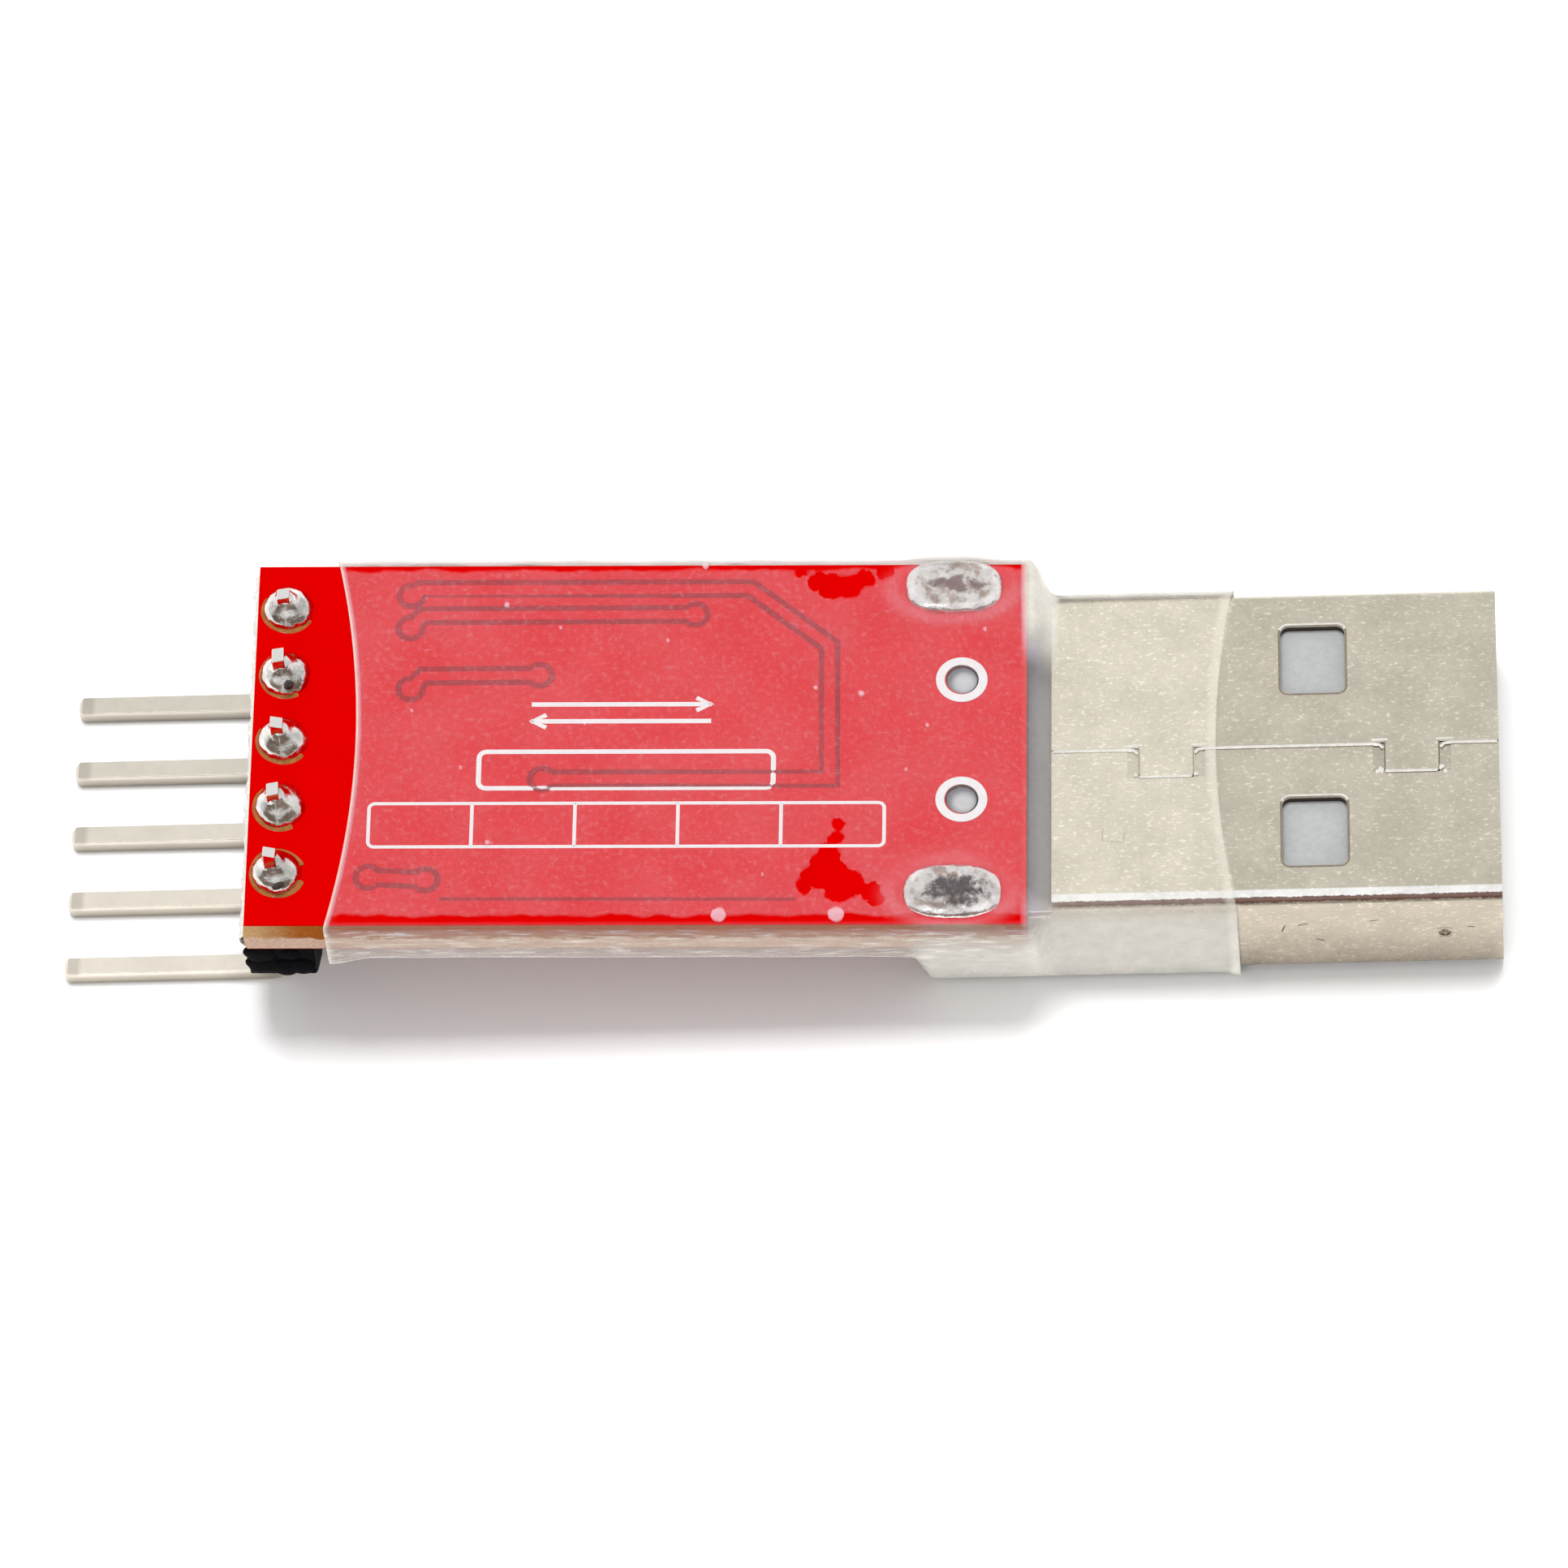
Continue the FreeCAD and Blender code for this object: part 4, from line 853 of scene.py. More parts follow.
@dataclass(frozen=True)
class SolderFinish(Finish):
    """Bright solder with a dark middle, tan patches and a painted highlight round its edge.

    Attributes:
        middle: Middle of the joint, in the board's frame.
        shift: How far the dark place lies from that middle.
        reach: Size of the dark place along and across.
        dark_tone: Colour of the dark place.
        dark_roughness: Roughness of the dark place.
        rim: Colour of the white band round the joint, a painted highlight.
        stain: Colour of the tanned patches.
    """

    middle: tuple[float, float] = (0.0, 0.0)
    shift: tuple[float, float] = (0.1, -0.1)
    reach: tuple[float, float] = (1.1, 0.6)
    dark_tone: Colour = (0.13, 0.105, 0.09)
    dark_roughness: float = 0.45
    rim: Colour = (1.0, 0.99, 0.96)
    stain: Colour = (0.47, 0.36, 0.29)

    def material(self) -> bpy.types.Material:
        """Build the material."""
        material, wire, surface = self.start()
        place = wire.on_board()
        sides = list(zip(wire.parts(place), self.middle, self.shift, self.reach, PLUG.joint_half))
        away = wire.squared(
            *(wire.share(value, middle + shift, reach) for value, middle, shift, reach, _ in sides)
        )
        ragged = wire.times(wire.grain(place, 2.6, 4.0, 0.65), 3.2)
        darkened = wire.fall(wire.plus(away, ragged), 1.7, 2.5)
        out = wire.plus(*(
            wire.math("POWER", wire.size(wire.share(value, middle, half)), PLUG.joint_power)
            for value, middle, _, _, half in sides
        ))
        # A broken white band near the joint's edge: a painted highlight.
        broken = wire.step(wire.grain(place, 1.1, 3.0, 0.6), 0.36, 0.52)
        band = wire.times(wire.step(out, 0.42, 0.6), broken)
        patches = wire.step(wire.grain(place, 1.9, 4.0, 0.6), 0.46, 0.62)
        stained = wire.times(patches, wire.fall(out, 0.55, 0.8))
        bright = wire.mix(band, wire.mix(stained, self.colour, self.stain), self.rim)
        self.dress(wire, surface, wire.mix(darkened, bright, self.dark_tone), self.grain(wire, place))
        rough = wire.step(darkened, 0.0, 1.0, self.roughness, self.dark_roughness)
        wire.feed(surface.inputs["Roughness"], rough)
        return material


class Slot(Enum):
    """Material slots of the record."""

    MASK = "solder_mask"
    FILM = "clear_film"
    SHELL = "nickel_shell"
    WHITE = "white_moulding"
    CONTACT = "gold_contact"
    BLACK = "black_moulding"
    PIN = "tinned_pin"
    SOLDER = "solder"
    CHIP = "chip_moulding"
    LAMP = "lamp_body"
    RESISTOR = "resistor_body"
    CAPACITOR = "capacitor_body"
    FUSE = "fuse_body"


MASK = BoardFinish(
    "red_mask_board", (0.52, 0.0, 0.0), 0.4, coarse=0.8, fine=6.0, shade=0.06, relief=0.002,
    shine=0.0
)
TRACE = Finish(
    "masked_copper", (0.30, 0.0, 0.002), 0.5, coarse=1.5, fine=9.0, shade=0.25, relief=0.002,
    shine=0.0
)
PRINT = Finish(
    "white_print", (0.62, 0.60, 0.60), 0.6, coarse=3.0, fine=18.0, shade=0.10, relief=0.002,
    shine=0.2
)
NICKEL = ShellFinish(
    "plated_nickel", (0.62, 0.575, 0.475), 0.32, 1.0, coarse=3.0, fine=9.0, relief=0.0025,
    rough_change=0.16
)
# Painted highlights and glints: bright lines and slivers on the shell.
PAINTED_HIGHLIGHT = Finish(
    "painted_highlight_nickel", (0.98, 0.96, 0.90), 0.2, 1.0, coarse=2.0, fine=9.0, shade=0.2, relief=0.002
)
# Dark lines of painted shade in the shell's gaps and round its windows, and a faint mark.
PAINTED_SHADE_AND_MARK = SeamFinish(
    "painted_shade_and_mark_nickel", (0.36, 0.30, 0.23), 0.3, 1.0, coarse=2.0, fine=9.0, shade=0.3, relief=0.002
)
PRESSED = Finish(
    "pressed_nickel", (0.60, 0.555, 0.485), 0.30, 1.0, coarse=7.0, fine=17.0, shade=0.16
)
WHITE = MouldingFinish(
    "white_plastic", (0.36, 0.37, 0.37), 0.42, coarse=0.5, fine=5.0, shade=0.16, relief=0.002,
    shine=0.3
)
GOLD = Finish("gold_contact", (0.80, 0.56, 0.22), 0.26, 1.0, coarse=2.0, fine=20.0)
BLACK = Finish(
    "black_plastic", (0.0015, 0.0015, 0.0025), 0.42, coarse=1.6, fine=7.0, shade=0.4, relief=0.02,
    shine=0.012
)
PIN = PinFinish(
    "tinned_pin", (0.80, 0.745, 0.65), 0.27, 1.0, coarse=0.5, fine=2.5, shade=0.08, relief=0.001
)
BRIGHT = Finish(
    "bright_solder", (0.82, 0.80, 0.765), 0.13, 1.0, coarse=1.3, fine=3.2, shade=0.5, relief=0.05
)
FLUX = Finish(
    "flux_residue", (0.40, 0.165, 0.03), 0.15, coarse=3.0, fine=9.0, shade=0.4, relief=0.01,
    alpha=0.7
)
SOOT = Finish("dark_residue", (0.02, 0.012, 0.008), 0.35, coarse=4.0, shade=0.4, relief=0.01)
CHIP = Finish(
    "chip_moulding", (0.016, 0.016, 0.018), 0.55, coarse=3.0, fine=20.0, shade=0.3, relief=0.006
)
LAMP = Finish("lamp_body", (0.72, 0.70, 0.58), 0.25, coarse=2.0, fine=10.0, shade=0.08)
RESISTOR = Finish("resistor_body", (0.012, 0.012, 0.014), 0.25, coarse=2.0, fine=12.0, shade=0.2)
CERAMIC = Finish("capacitor_body", (0.35, 0.23, 0.13), 0.45, coarse=2.0, shade=0.15)
FUSE = Finish("fuse_body", (0.05, 0.16, 0.07), 0.4, coarse=2.0, fine=12.0, shade=0.15)
TIN = Finish(
    "tinned_end", (0.66, 0.65, 0.62), 0.3, 1.0, coarse=3.0, fine=12.0, shade=0.2, relief=0.008
)
FLOOR = Finish("floor_paint", (0.93, 0.93, 0.93), 0.9, shade=0.0, relief=0.0001, shine=0.0)
FILM = FilmFinish(
    "clear_film", (0.88, 0.82, 0.92), 0.22, coarse=0.9, fine=7.0, shade=0.05, relief=0.008
)
FILM_END = FilmFinish(
    "clear_film_end", (0.88, 0.83, 0.83), 0.35, coarse=2.0, fine=9.0, shade=0.08, edge_haze=0.3
)


# Making pieces: turns between faces, in degrees, up to which they look like one surface

SHARP = 35.0
LUMPY = 60.0
LINE = 80.0
SEAMLESS = 180.0
FLAT = 0.6
ROUNDED = 40.0

Stroke = tuple[float, float]
MADE: dict[str, bpy.types.Material] = {}


def material_of(finish: Finish) -> bpy.types.Material:
    """The finish's material, built once."""
    if finish.name not in MADE:
        MADE[finish.name] = finish.material()
    return MADE[finish.name]


def finish_mesh(bm: bmesh.types.BMesh, name: str, finishes: Sequence[Finish],
                place: Matrix | None = None,
                sharp: float | None = SHARP) -> bpy.types.Object:
    """Turn a mesh in millimetres into a piece that rides on the module.

    Args:
        bm: Mesh in millimetres; it is freed.
        name: Name of the piece.
        finishes: Finishes by material slot.
        place: Matrix that puts the mesh in the module's frame, in millimetres.
        sharp: Edges that turn more than this many degrees stay sharp; None keeps the mesh's own.

    Returns:
        The piece.
    """
    if place is not None:
        bmesh.ops.transform(bm, matrix=place, verts=bm.verts)
    bmesh.ops.scale(bm, vec=(MM, MM, MM), verts=bm.verts)
    mesh = bpy.data.meshes.new(name)
    bm.to_mesh(mesh)
    bm.free()
    mesh.shade_smooth()
    if sharp is not None:
        mesh.set_sharp_from_angle(angle=math.radians(sharp))
    piece = bpy.data.objects.new(name, mesh)
    bpy.context.scene.collection.objects.link(piece)
    for finish in finishes:
        mesh.materials.append(material_of(finish))
    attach(piece, ROOT)
    LOG.info("%s: %d faces", name, len(mesh.polygons))
    return piece


def merged_copy(node: str) -> bmesh.types.BMesh:
    """Copy of a solid's mesh in millimetres, with its doubled points merged."""
    bm = bmesh.new()
    bm.from_mesh(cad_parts[node].data)
    bmesh.ops.scale(bm, vec=(1 / MM, 1 / MM, 1 / MM), verts=bm.verts)
    bmesh.ops.remove_doubles(bm, verts=bm.verts, dist=MERGE)
    return bm


def dressed_copy(node: str, name: str, finish: Finish, slot: Slot, radius: float, segments: int = 2,
                 shape: Callable[[bmesh.types.BMesh], None] | None = None) -> bpy.types.Object:
    """Copy of a solid with its triangles merged into faces and its edges rounded.

    Args:
        node: Name of the solid's node.
        name: Name of the piece.
        finish: Finish of the piece.
        slot: Not used.
        radius: Edge radius in millimetres.
        segments: Steps across each rounded edge.
        shape: Change made to the copy before its faces are merged.

    Returns:
        The piece, which stands for the node.
    """
    bm = merged_copy(node)
    if shape is not None:
        shape(bm)
    bmesh.ops.dissolve_limit(bm, angle_limit=math.radians(FLAT), verts=bm.verts, edges=bm.edges)
    piece = finish_mesh(bm, name, [finish])
    rounding = piece.modifiers.new("edges", "BEVEL")
    rounding.width = radius * MM
    rounding.segments = segments
    rounding.limit_method = "ANGLE"
    rounding.angle_limit = math.radians(ROUNDED)
    rounding.harden_normals = True
    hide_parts(node)
    return piece


def add_line(bm: bmesh.types.BMesh, path: Path, stroke: Stroke, closed: bool = False) -> None:
    """Add a low rounded line that follows a path on the plane z = 0.

    Args:
        bm: Mesh to add to.
        path: Points of the path.
        stroke: Width and height of the line.
        closed: True to join the last point to the first.
    """
    width, height = stroke
    curve = bpy.data.curves.new("line", "CURVE")
    curve.dimensions = "3D"
    curve.bevel_depth = width / 2
    curve.bevel_resolution = 1
    curve.use_fill_caps = True
    spline = curve.splines.new("POLY")
    spline.points.add(len(path) - 1)
    for point, (x, y) in zip(spline.points, path):
        point.co = (x, y, 0.0, 1.0)
    spline.use_cyclic_u = closed
    holder = bpy.data.objects.new("line", curve)
    mesh = bpy.data.meshes.new_from_object(holder)
    line = bmesh.new()
    line.from_mesh(mesh)
    bmesh.ops.scale(line, vec=(1.0, 1.0, 2 * height / width), verts=line.verts)
    flat = bpy.data.meshes.new("line_mesh")
    line.to_mesh(flat)
    line.free()
    bm.from_mesh(flat)
    bpy.data.objects.remove(holder)
    bpy.data.curves.remove(curve)
    bpy.data.meshes.remove(mesh)
    bpy.data.meshes.remove(flat)


def add_lump(bm: bmesh.types.BMesh, steps: int, radius: float, stretch: Sequence[float],
             swell: tuple[float, float, float]) -> list[bmesh.types.BMVert]:
    """Add an uneven ball.

    Args:
        bm: Mesh to add to.
        steps: How often the ball is divided.
        radius: Radius before it is stretched.
        stretch: How far it is stretched along x, y and z.
        swell: Reach, waves per millimetre and seed of its swelling.

    Returns:
        The ball's points.
    """
    reach, waves, seed = swell
    ball = bmesh.ops.create_icosphere(bm, subdivisions=steps, radius=radius)["verts"]
    for vert in ball:
        size = 1.0 + reach * bump_at(vert.co, waves, seed)
        vert.co = Vector([value * share for value, share in zip(vert.co, stretch)]) * size
    return ball


def track_outline(
    path: Path, half: float, pad: float, steps: int = 10
) -> list[tuple[float, float]]:
    """Outline of a copper track with a round pad at each end.

    Args:
        path: Middle line of the track.
        half: Half of the track's width.
        pad: Radius of the end pads.
        steps: Points round each pad.

    Returns:
        Closed outline.
    """
    points = [Vector(point) for point in path]
    runs = [(after - before).normalized() for before, after in zip(points, points[1:])]

    def side(sign: float) -> list[Vector]:
        """Points beside the bends of the middle line."""
        made = []
        for point, before, after in zip(points[1:], runs, runs[1:]):
            normal = Vector((-before.y - after.y, before.x + after.x)).normalized()
            reach = half / max(normal.dot(Vector((-before.y, before.x))), 0.5)
            made.append(point + normal * reach * sign)
        return made

    def cap(centre: Vector, run: Vector) -> list[Vector]:
        """Points round one pad, from one side of the track to the other."""
        normal = Vector((-run.y, run.x))
        start = math.asin(half / pad)
        turns = [start + (2 * math.pi - 2 * start) * step / steps for step in range(steps + 1)]
        return [centre + (run * math.cos(turn) + normal * math.sin(turn)) * pad for turn in turns]

    outline = cap(points[0], runs[0]) + side(-1.0) + cap(points[-1], -runs[-1]) + side(1.0)[::-1]
    return [(point.x, point.y) for point in outline]


def rounded_box(sides: Strip, bend: float, steps: int = 5) -> list[tuple[float, float]]:
    """Outline of a rectangle with round corners, from its left, right, lower and upper side."""
    left, right = sides[0] + bend, sides[1] - bend
    low, high = sides[2] + bend, sides[3] - bend
    outline = []
    for index, (x, y) in enumerate(((right, low), (right, high), (left, high), (left, low))):
        for step in range(steps + 1):
            turn = math.pi / 2 * (index - 1 + step / steps)
            outline.append((x + bend * math.cos(turn), y + bend * math.sin(turn)))
    return outline


# The board and what is printed on it


@dataclass
class BoardAssembly:
    """Board, its masked tracks and its plain print.

    Attributes:
        tracks: Middle lines of the tracks seen through the mask.
        lone_track: A track of which one edge is seen.
        track_half: Half of the distance between a track's two edges.
        track_pad: Radius of the track ends.
        track_stroke: Line where the mask runs over a track's edge.
        lone_stroke: The same for the lone edge.
        rings: Places of the printed rings on the board.
        ring_radii: Inner and outer radius of the rings.
        ring_height: Height of the rings.
        stroke: Line of the arrows and the box.
        arrows: Sideways place, start and end of each arrow.
        barb: Length and half width of the arrow heads.
        box: Sides of the plain box.
        cells: Sides of the row of cells.
        cell_stroke: Line of the cells.
        tear: Least reach of the torn fibres on the free end, and how much it varies.
        side_tear: The same for the long sides.
        tear_band: Middle and half height of the torn band, below the upper face.
        tear_step: Distance between points along the torn band.
    """

    tracks: tuple[Path, ...] = (
        ((-7.75, 5.75), (-7.45, 6.0), (3.64, 5.99), (6.31, 3.77), (6.37, -1.38), (-3.18, -1.37)),
        ((-7.75, 4.49), (-7.33, 4.97), (1.8, 4.99)),
        ((-7.67, 2.12), (-7.25, 2.62), (-3.37, 2.64)),
        ((-8.85, -5.1), (-6.95, -5.2)),
    )
    lone_track: Path = ((-6.49, -5.93), (5.3, -5.96))
    track_half: float = 0.27
    track_pad: float = 0.42
    track_stroke: Stroke = (0.22, 0.012)
    lone_stroke: Stroke = (0.13, 0.01)
    rings: tuple[tuple[float, float], ...] = ((10.74, 2.41), (10.75, -2.19))
    ring_radii: tuple[float, float] = (0.57, 0.86)
    ring_height: float = 0.02
    stroke: Stroke = (0.17, 0.012)
    arrows: tuple[tuple[float, float, float], ...] = ((1.5, -3.6, 2.4), (0.85, 2.4, -3.6))
    barb: tuple[float, float] = (0.5, 0.24)
    box: Strip = (-5.3, 4.5, -1.72, -0.32)
    cells: Strip = (-8.9, 8.2, -3.95, -2.3)
    cell_stroke: Stroke = (0.12, 0.012)
    tear: Band = (0.13, 0.16)
    side_tear: Band = (0.02, 0.10)
    tear_band: tuple[float, float] = (-0.95, 0.36)
    tear_step: float = 0.14

    def build(self) -> None:
        """Make the board, its tracks, its print and its snapped edge."""
        dressed_copy("circuit_board", "circuit_board_panel", MASK, Slot.MASK, 0.025)
        self.make_tracks()
        self.make_rings()
        self.make_arrows()
        self.make_boxes()
        self.make_snapped_edge()

    def make_tracks(self) -> None:
        """Low double lines where the mask runs over the edges of the tracks."""
        for index, path in enumerate(self.tracks, start=1):
            bm = bmesh.new()
            add_line(
                bm, track_outline(path, self.track_half, self.track_pad), self.track_stroke, True
            )
            finish_mesh(bm, f"masked_track_{index}", [TRACE], BOARD.matrix())
        bm = bmesh.new()
        add_line(bm, self.lone_track, self.lone_stroke)
        finish_mesh(bm, "masked_track_edge", [TRACE], BOARD.matrix())

    def make_rings(self) -> None:
        """Printed rings round the two peg holes."""
        for name, place in zip(("far", "near"), self.rings):
            bm = bmesh.new()
            loops = [
                bmesh.ops.create_circle(bm, segments=64, radius=radius)["verts"]
                for radius in self.ring_radii
            ]
            edges = {edge for loop in loops for vert in loop for edge in vert.link_edges}
            bmesh.ops.bridge_loops(bm, edges=list(edges))
            rise = bmesh.ops.extrude_face_region(bm, geom=bm.faces[:])["geom"]
            tops = [item for item in rise if isinstance(item, bmesh.types.BMVert)]
            bmesh.ops.translate(bm, vec=(0, 0, self.ring_height), verts=tops)
            bmesh.ops.recalc_face_normals(bm, faces=bm.faces)
            finish_mesh(bm, f"print_ring_{name}", [PRINT], BOARD.at(*place))

    def make_arrows(self) -> None:
        """Two plain opposed arrows."""
        bm = bmesh.new()
        length, half = self.barb
        for y, start, end in self.arrows:
            neck = end - math.copysign(length, end - start)
            add_line(bm, ((start, y), (end, y)), self.stroke)
            add_line(bm, ((neck, y + half), (end, y), (neck, y - half)), self.stroke)
        finish_mesh(bm, "print_arrows", [PRINT], BOARD.matrix())

    def make_boxes(self) -> None:
        """A plain outlined box and a blank row of five cells, one for each pin."""
        bm = bmesh.new()
        add_line(bm, rounded_box(self.box, 0.25), self.stroke, True)
        finish_mesh(bm, "print_box", [PRINT], BOARD.matrix())
        bm = bmesh.new()
        left, right, bottom, top = self.cells
        add_line(bm, rounded_box(self.cells, 0.2), self.cell_stroke, True)
        for index in range(1, BOARD.pins):
            x = blend(left, right, index / BOARD.pins)
            add_line(bm, ((x, bottom), (x, top)), self.cell_stroke)
        finish_mesh(bm, "print_cells", [PRINT], BOARD.matrix())

    def make_snapped_edge(self) -> None:
        """Torn fibres where the board was snapped off, along both long sides and the free end."""
        source = random.Random(4)
        half_x, half_y = BOARD.length / 2 + 0.05, BOARD.width / 2 + 0.05
        middle, half = self.tear_band
        sides = (
            ("free_end", (-half_x, half_y), (-half_x, -half_y), self.tear),
            ("near_side", (-half_x, -half_y), (half_x, -half_y), self.side_tear),
            ("far_side", (half_x, half_y), (-half_x, half_y), self.side_tear),
        )
        for name, start, end, (least, most) in sides:
            begin, finish = Vector(start), Vector(end)
            run = (finish - begin).normalized()
            out = Vector((run.y, -run.x))
            bm = bmesh.new()
            steps = int((finish - begin).length / self.tear_step)
            bmesh.ops.create_grid(bm, x_segments=steps, y_segments=6, size=1.0)
            for vert in bm.verts:
                along, band = (vert.co.x + 1) / 2, vert.co.y
                base = begin.lerp(finish, along)
                wave = noise.noise(Vector((base.x * 2.3, base.y * 2.3, band * 1.5)))
                rough = abs(wave) + source.random() * 0.25
                reach = (1.0 - band * band) * (least + most * rough) - 0.04
                edge = base + out * reach
                vert.co = Vector((edge.x, edge.y, middle + band * half + (rough - 0.3) * 0.05))
            bmesh.ops.recalc_face_normals(bm, faces=bm.faces)
            finish_mesh(bm, f"snapped_edge_{name}", [MASK], BOARD.matrix(), LUMPY)


# The pin header


@dataclass
class HeaderAssembly:
    """Pins, their moulded strip and the five joints on top of the board.

    Attributes:
        profile: Radius and height of the joint's outline, from its foot.
        lean: How far each joint's crown leans along and across the board.
        cuts: Height and two slopes of the cut across each lead's top.
        lead_share: Length and width that a lead keeps towards its top.
        lead_rise: How much higher a lead stands before it is cut.
        lumps: Place along, height and size of each lump on the snapped end.
        seeds: Noise shift of each joint.
        flux: Radius of the flux at the foot of each joint, and the angles it runs between.
        flux_stroke: Line of that flux.
        burns: Pin, place beside it, height, length and width of each burnt spot.
    """

    profile: Path = (
        (0.83, -0.01), (0.82, 0.06), (0.79, 0.15), (0.73, 0.26), (0.65, 0.37), (0.55, 0.47),
        (0.45, 0.56), (0.37, 0.66), (0.31, 0.76), (0.26, 0.84), (0.2, 0.88), (0.0, 0.89),
    )
    lean: Path = ((-0.08, 0.02), (-0.12, 0.03), (-0.09, 0.0), (-0.12, 0.03), (-0.11, 0.05))
    cuts: tuple[tuple[float, float, float], ...] = (
        (1.12, 0.15, -0.25), (1.4, -0.35, -0.25), (1.2, 0.1, 0.35), (1.28, -0.2, -0.3),
        (1.4, 0.3, 0.4),
    )
    lead_share: tuple[float, float] = (0.62, 0.66)
    lead_rise: float = 0.4
    lumps: tuple[tuple[float, float, float], ...] = (
        (-0.66, -2.55, 0.5), (-0.62, -3.3, 0.52), (0.1, -3.45, 0.46), (0.62, -3.4, 0.44),
        (0.3, -2.6, 0.34),
    )
    seeds: tuple[float, ...] = (1.3, 4.1, 7.7, 9.2, 12.6)
    flux: tuple[tuple[float, float, float], ...] = (
        (0.82, 150, 330), (0.81, 110, 300), (0.83, 150, 320), (0.83, 130, 300), (0.85, 20, 340),
    )
    flux_stroke: Stroke = (0.2, 0.05)
    burns: tuple[tuple[int, float, float, float, float, float], ...] = (
        (4, 0.1, -0.69, 0.38, 0.22, 0.1), (1, 0.15, -0.64, 0.44, 0.17, 0.14),
    )

    def build(self) -> None:
        """Make the strip, the pins, the joints and the flux."""
        dressed_copy("header_strip", "header_strip_moulding", BLACK, Slot.BLACK, 0.06)
        self.make_nib()
        for index in range(BOARD.pins):
            names = f"header_pin_{index + 1}", f"square_pin_{index + 1}"
            dressed_copy(*names, PIN, Slot.PIN, 0.035, 3, partial(self.cut_lead, index))
            self.make_joint(index)
            self.make_flux(index)
        self.make_burns()
        self.make_stain()

    def cut_lead(self, index: int, bm: bmesh.types.BMesh) -> None:
        """Narrow a lead towards its top and cut it off at a slant.

        Args:
            index: Pin number, counted from the far side.
            bm: Copy of the pin.
        """
        height, across, along = self.cuts[index]
        foot = BOARD.at_pin(index).translation
        for vert in bm.verts:
            if vert.co.z > foot.z + 0.5:
                vert.co.x = blend(foot.x, vert.co.x, self.lead_share[0]) + self.lean[index][0] * 1.3
                vert.co.y = blend(foot.y, vert.co.y, self.lead_share[1])
                vert.co.z += self.lead_rise
        every = bm.verts[:] + bm.edges[:] + bm.faces[:]
        slant = Vector((along, across, 1.0)).normalized()
        top = BOARD.at_pin(index) @ Vector((0.0, 0.0, height))
        bmesh.ops.bisect_plane(bm, geom=every, plane_co=top, plane_no=slant, clear_outer=True)
        bmesh.ops.holes_fill(bm, edges=bm.edges, sides=0)

    def make_nib(self) -> None:
        """Rough lumps on the strip's near end, where it was snapped off."""
        end = BOARD.pin_across(BOARD.pins - 1) - BOARD.pitch / 2 - 0.33
        bm = bmesh.new()
        for x, z, size in self.lumps:
            ball = add_lump(bm, 3, size, (1.15, 0.24, 1.2), (0.16, 2.6, size * 9))
            bmesh.ops.translate(bm, vec=(BOARD.row + x, end, z), verts=ball)
        finish_mesh(bm, "snapped_nib", [BLACK], BOARD.matrix(), LUMPY)

    def make_joint(self, index: int) -> None:
        """One uneven cone of solder round a lead.

        Args:
            index: Pin number, counted from the far side.
        """
        bm = bmesh.new()
        verts = [bm.verts.new((radius, 0.0, height)) for radius, height in self.profile]
        geometry = verts + [bm.edges.new(pair) for pair in zip(verts, verts[1:])]
        bmesh.ops.spin(
            bm, geom=geometry, cent=(0, 0, 0), axis=(0, 0, 1), angle=2 * math.pi, steps=56,
            use_merge=True
        )
        bmesh.ops.remove_doubles(bm, verts=bm.verts, dist=MERGE)
        bmesh.ops.recalc_face_normals(bm, faces=bm.faces)
        crown, seed = self.profile[-1][1], self.seeds[index]
        for vert in bm.verts:
            share = vert.co.z / crown
            swell = 1.0 + 0.07 * bump_at(vert.co, 1.4, seed) * (1.0 - 0.3 * share)
            swell += 0.035 * bump_at(vert.co, 4.5, seed)
            vert.co.x = vert.co.x * swell + self.lean[index][0] * share
            vert.co.y = vert.co.y * swell + self.lean[index][1] * share
            vert.co.z += 0.05 * share * bump_at(vert.co, 2.0, seed + 5)
        piece = finish_mesh(
            bm, f"pin_joint_{index + 1}", [BRIGHT], BOARD.at_pin(index), LUMPY
        )
        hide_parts(f"header_solder_{index + 1}")

    def make_flux(self, index: int) -> None:
        """Thin arc of flux at the foot of one joint."""
        radius, start, end = self.flux[index]
        bm = bmesh.new()
        turns = [math.radians(blend(start, end, step / 40)) for step in range(41)]
        arc = [(math.cos(turn) * radius, math.sin(turn) * radius) for turn in turns]
        add_line(bm, arc, self.flux_stroke)
        for vert in bm.verts:
            swell = 1.0 + 0.05 * bump_at(vert.co, 1.1, self.seeds[index] + 2)
            vert.co.x *= swell
            vert.co.y *= swell
        finish_mesh(bm, f"flux_ring_{index + 1}", [FLUX], BOARD.at_pin(index), LINE)

    def make_burns(self) -> None:
        """Dark spots of burnt flux on two joints."""
        turn = Matrix.Rotation(math.radians(25), 4, "Z")
        for number, (pin, x, y, z, long, short) in enumerate(self.burns, start=1):
            bm = bmesh.new()
            add_lump(bm, 3, 1.0, (long, short, short), (0.3, 1.5, number * 3.0))
            place = BOARD.at(BOARD.row + x, BOARD.pin_across(pin) + y, z) @ turn
            finish_mesh(bm, f"burnt_flux_{number}", [SOOT], place, LINE)

    def make_stain(self) -> None:
        """Thin brown stain on the board's side, under a tab joint."""
        bm = bmesh.new()
        bmesh.ops.create_icosphere(bm, subdivisions=4, radius=1.0)
        for vert in bm.verts:
            swell = 1.0 + 0.35 * bump_at(vert.co, 1.6, 17.0)
            vert.co = Vector((vert.co.x * 1.5 * swell, vert.co.y * 0.05, vert.co.z * 0.24 * swell))
        place = BOARD.at(BOARD.length / 2 - 1.9, -BOARD.width / 2, -0.3)
        finish_mesh(bm, "side_stain", [FLUX], place, LINE)


# The plug


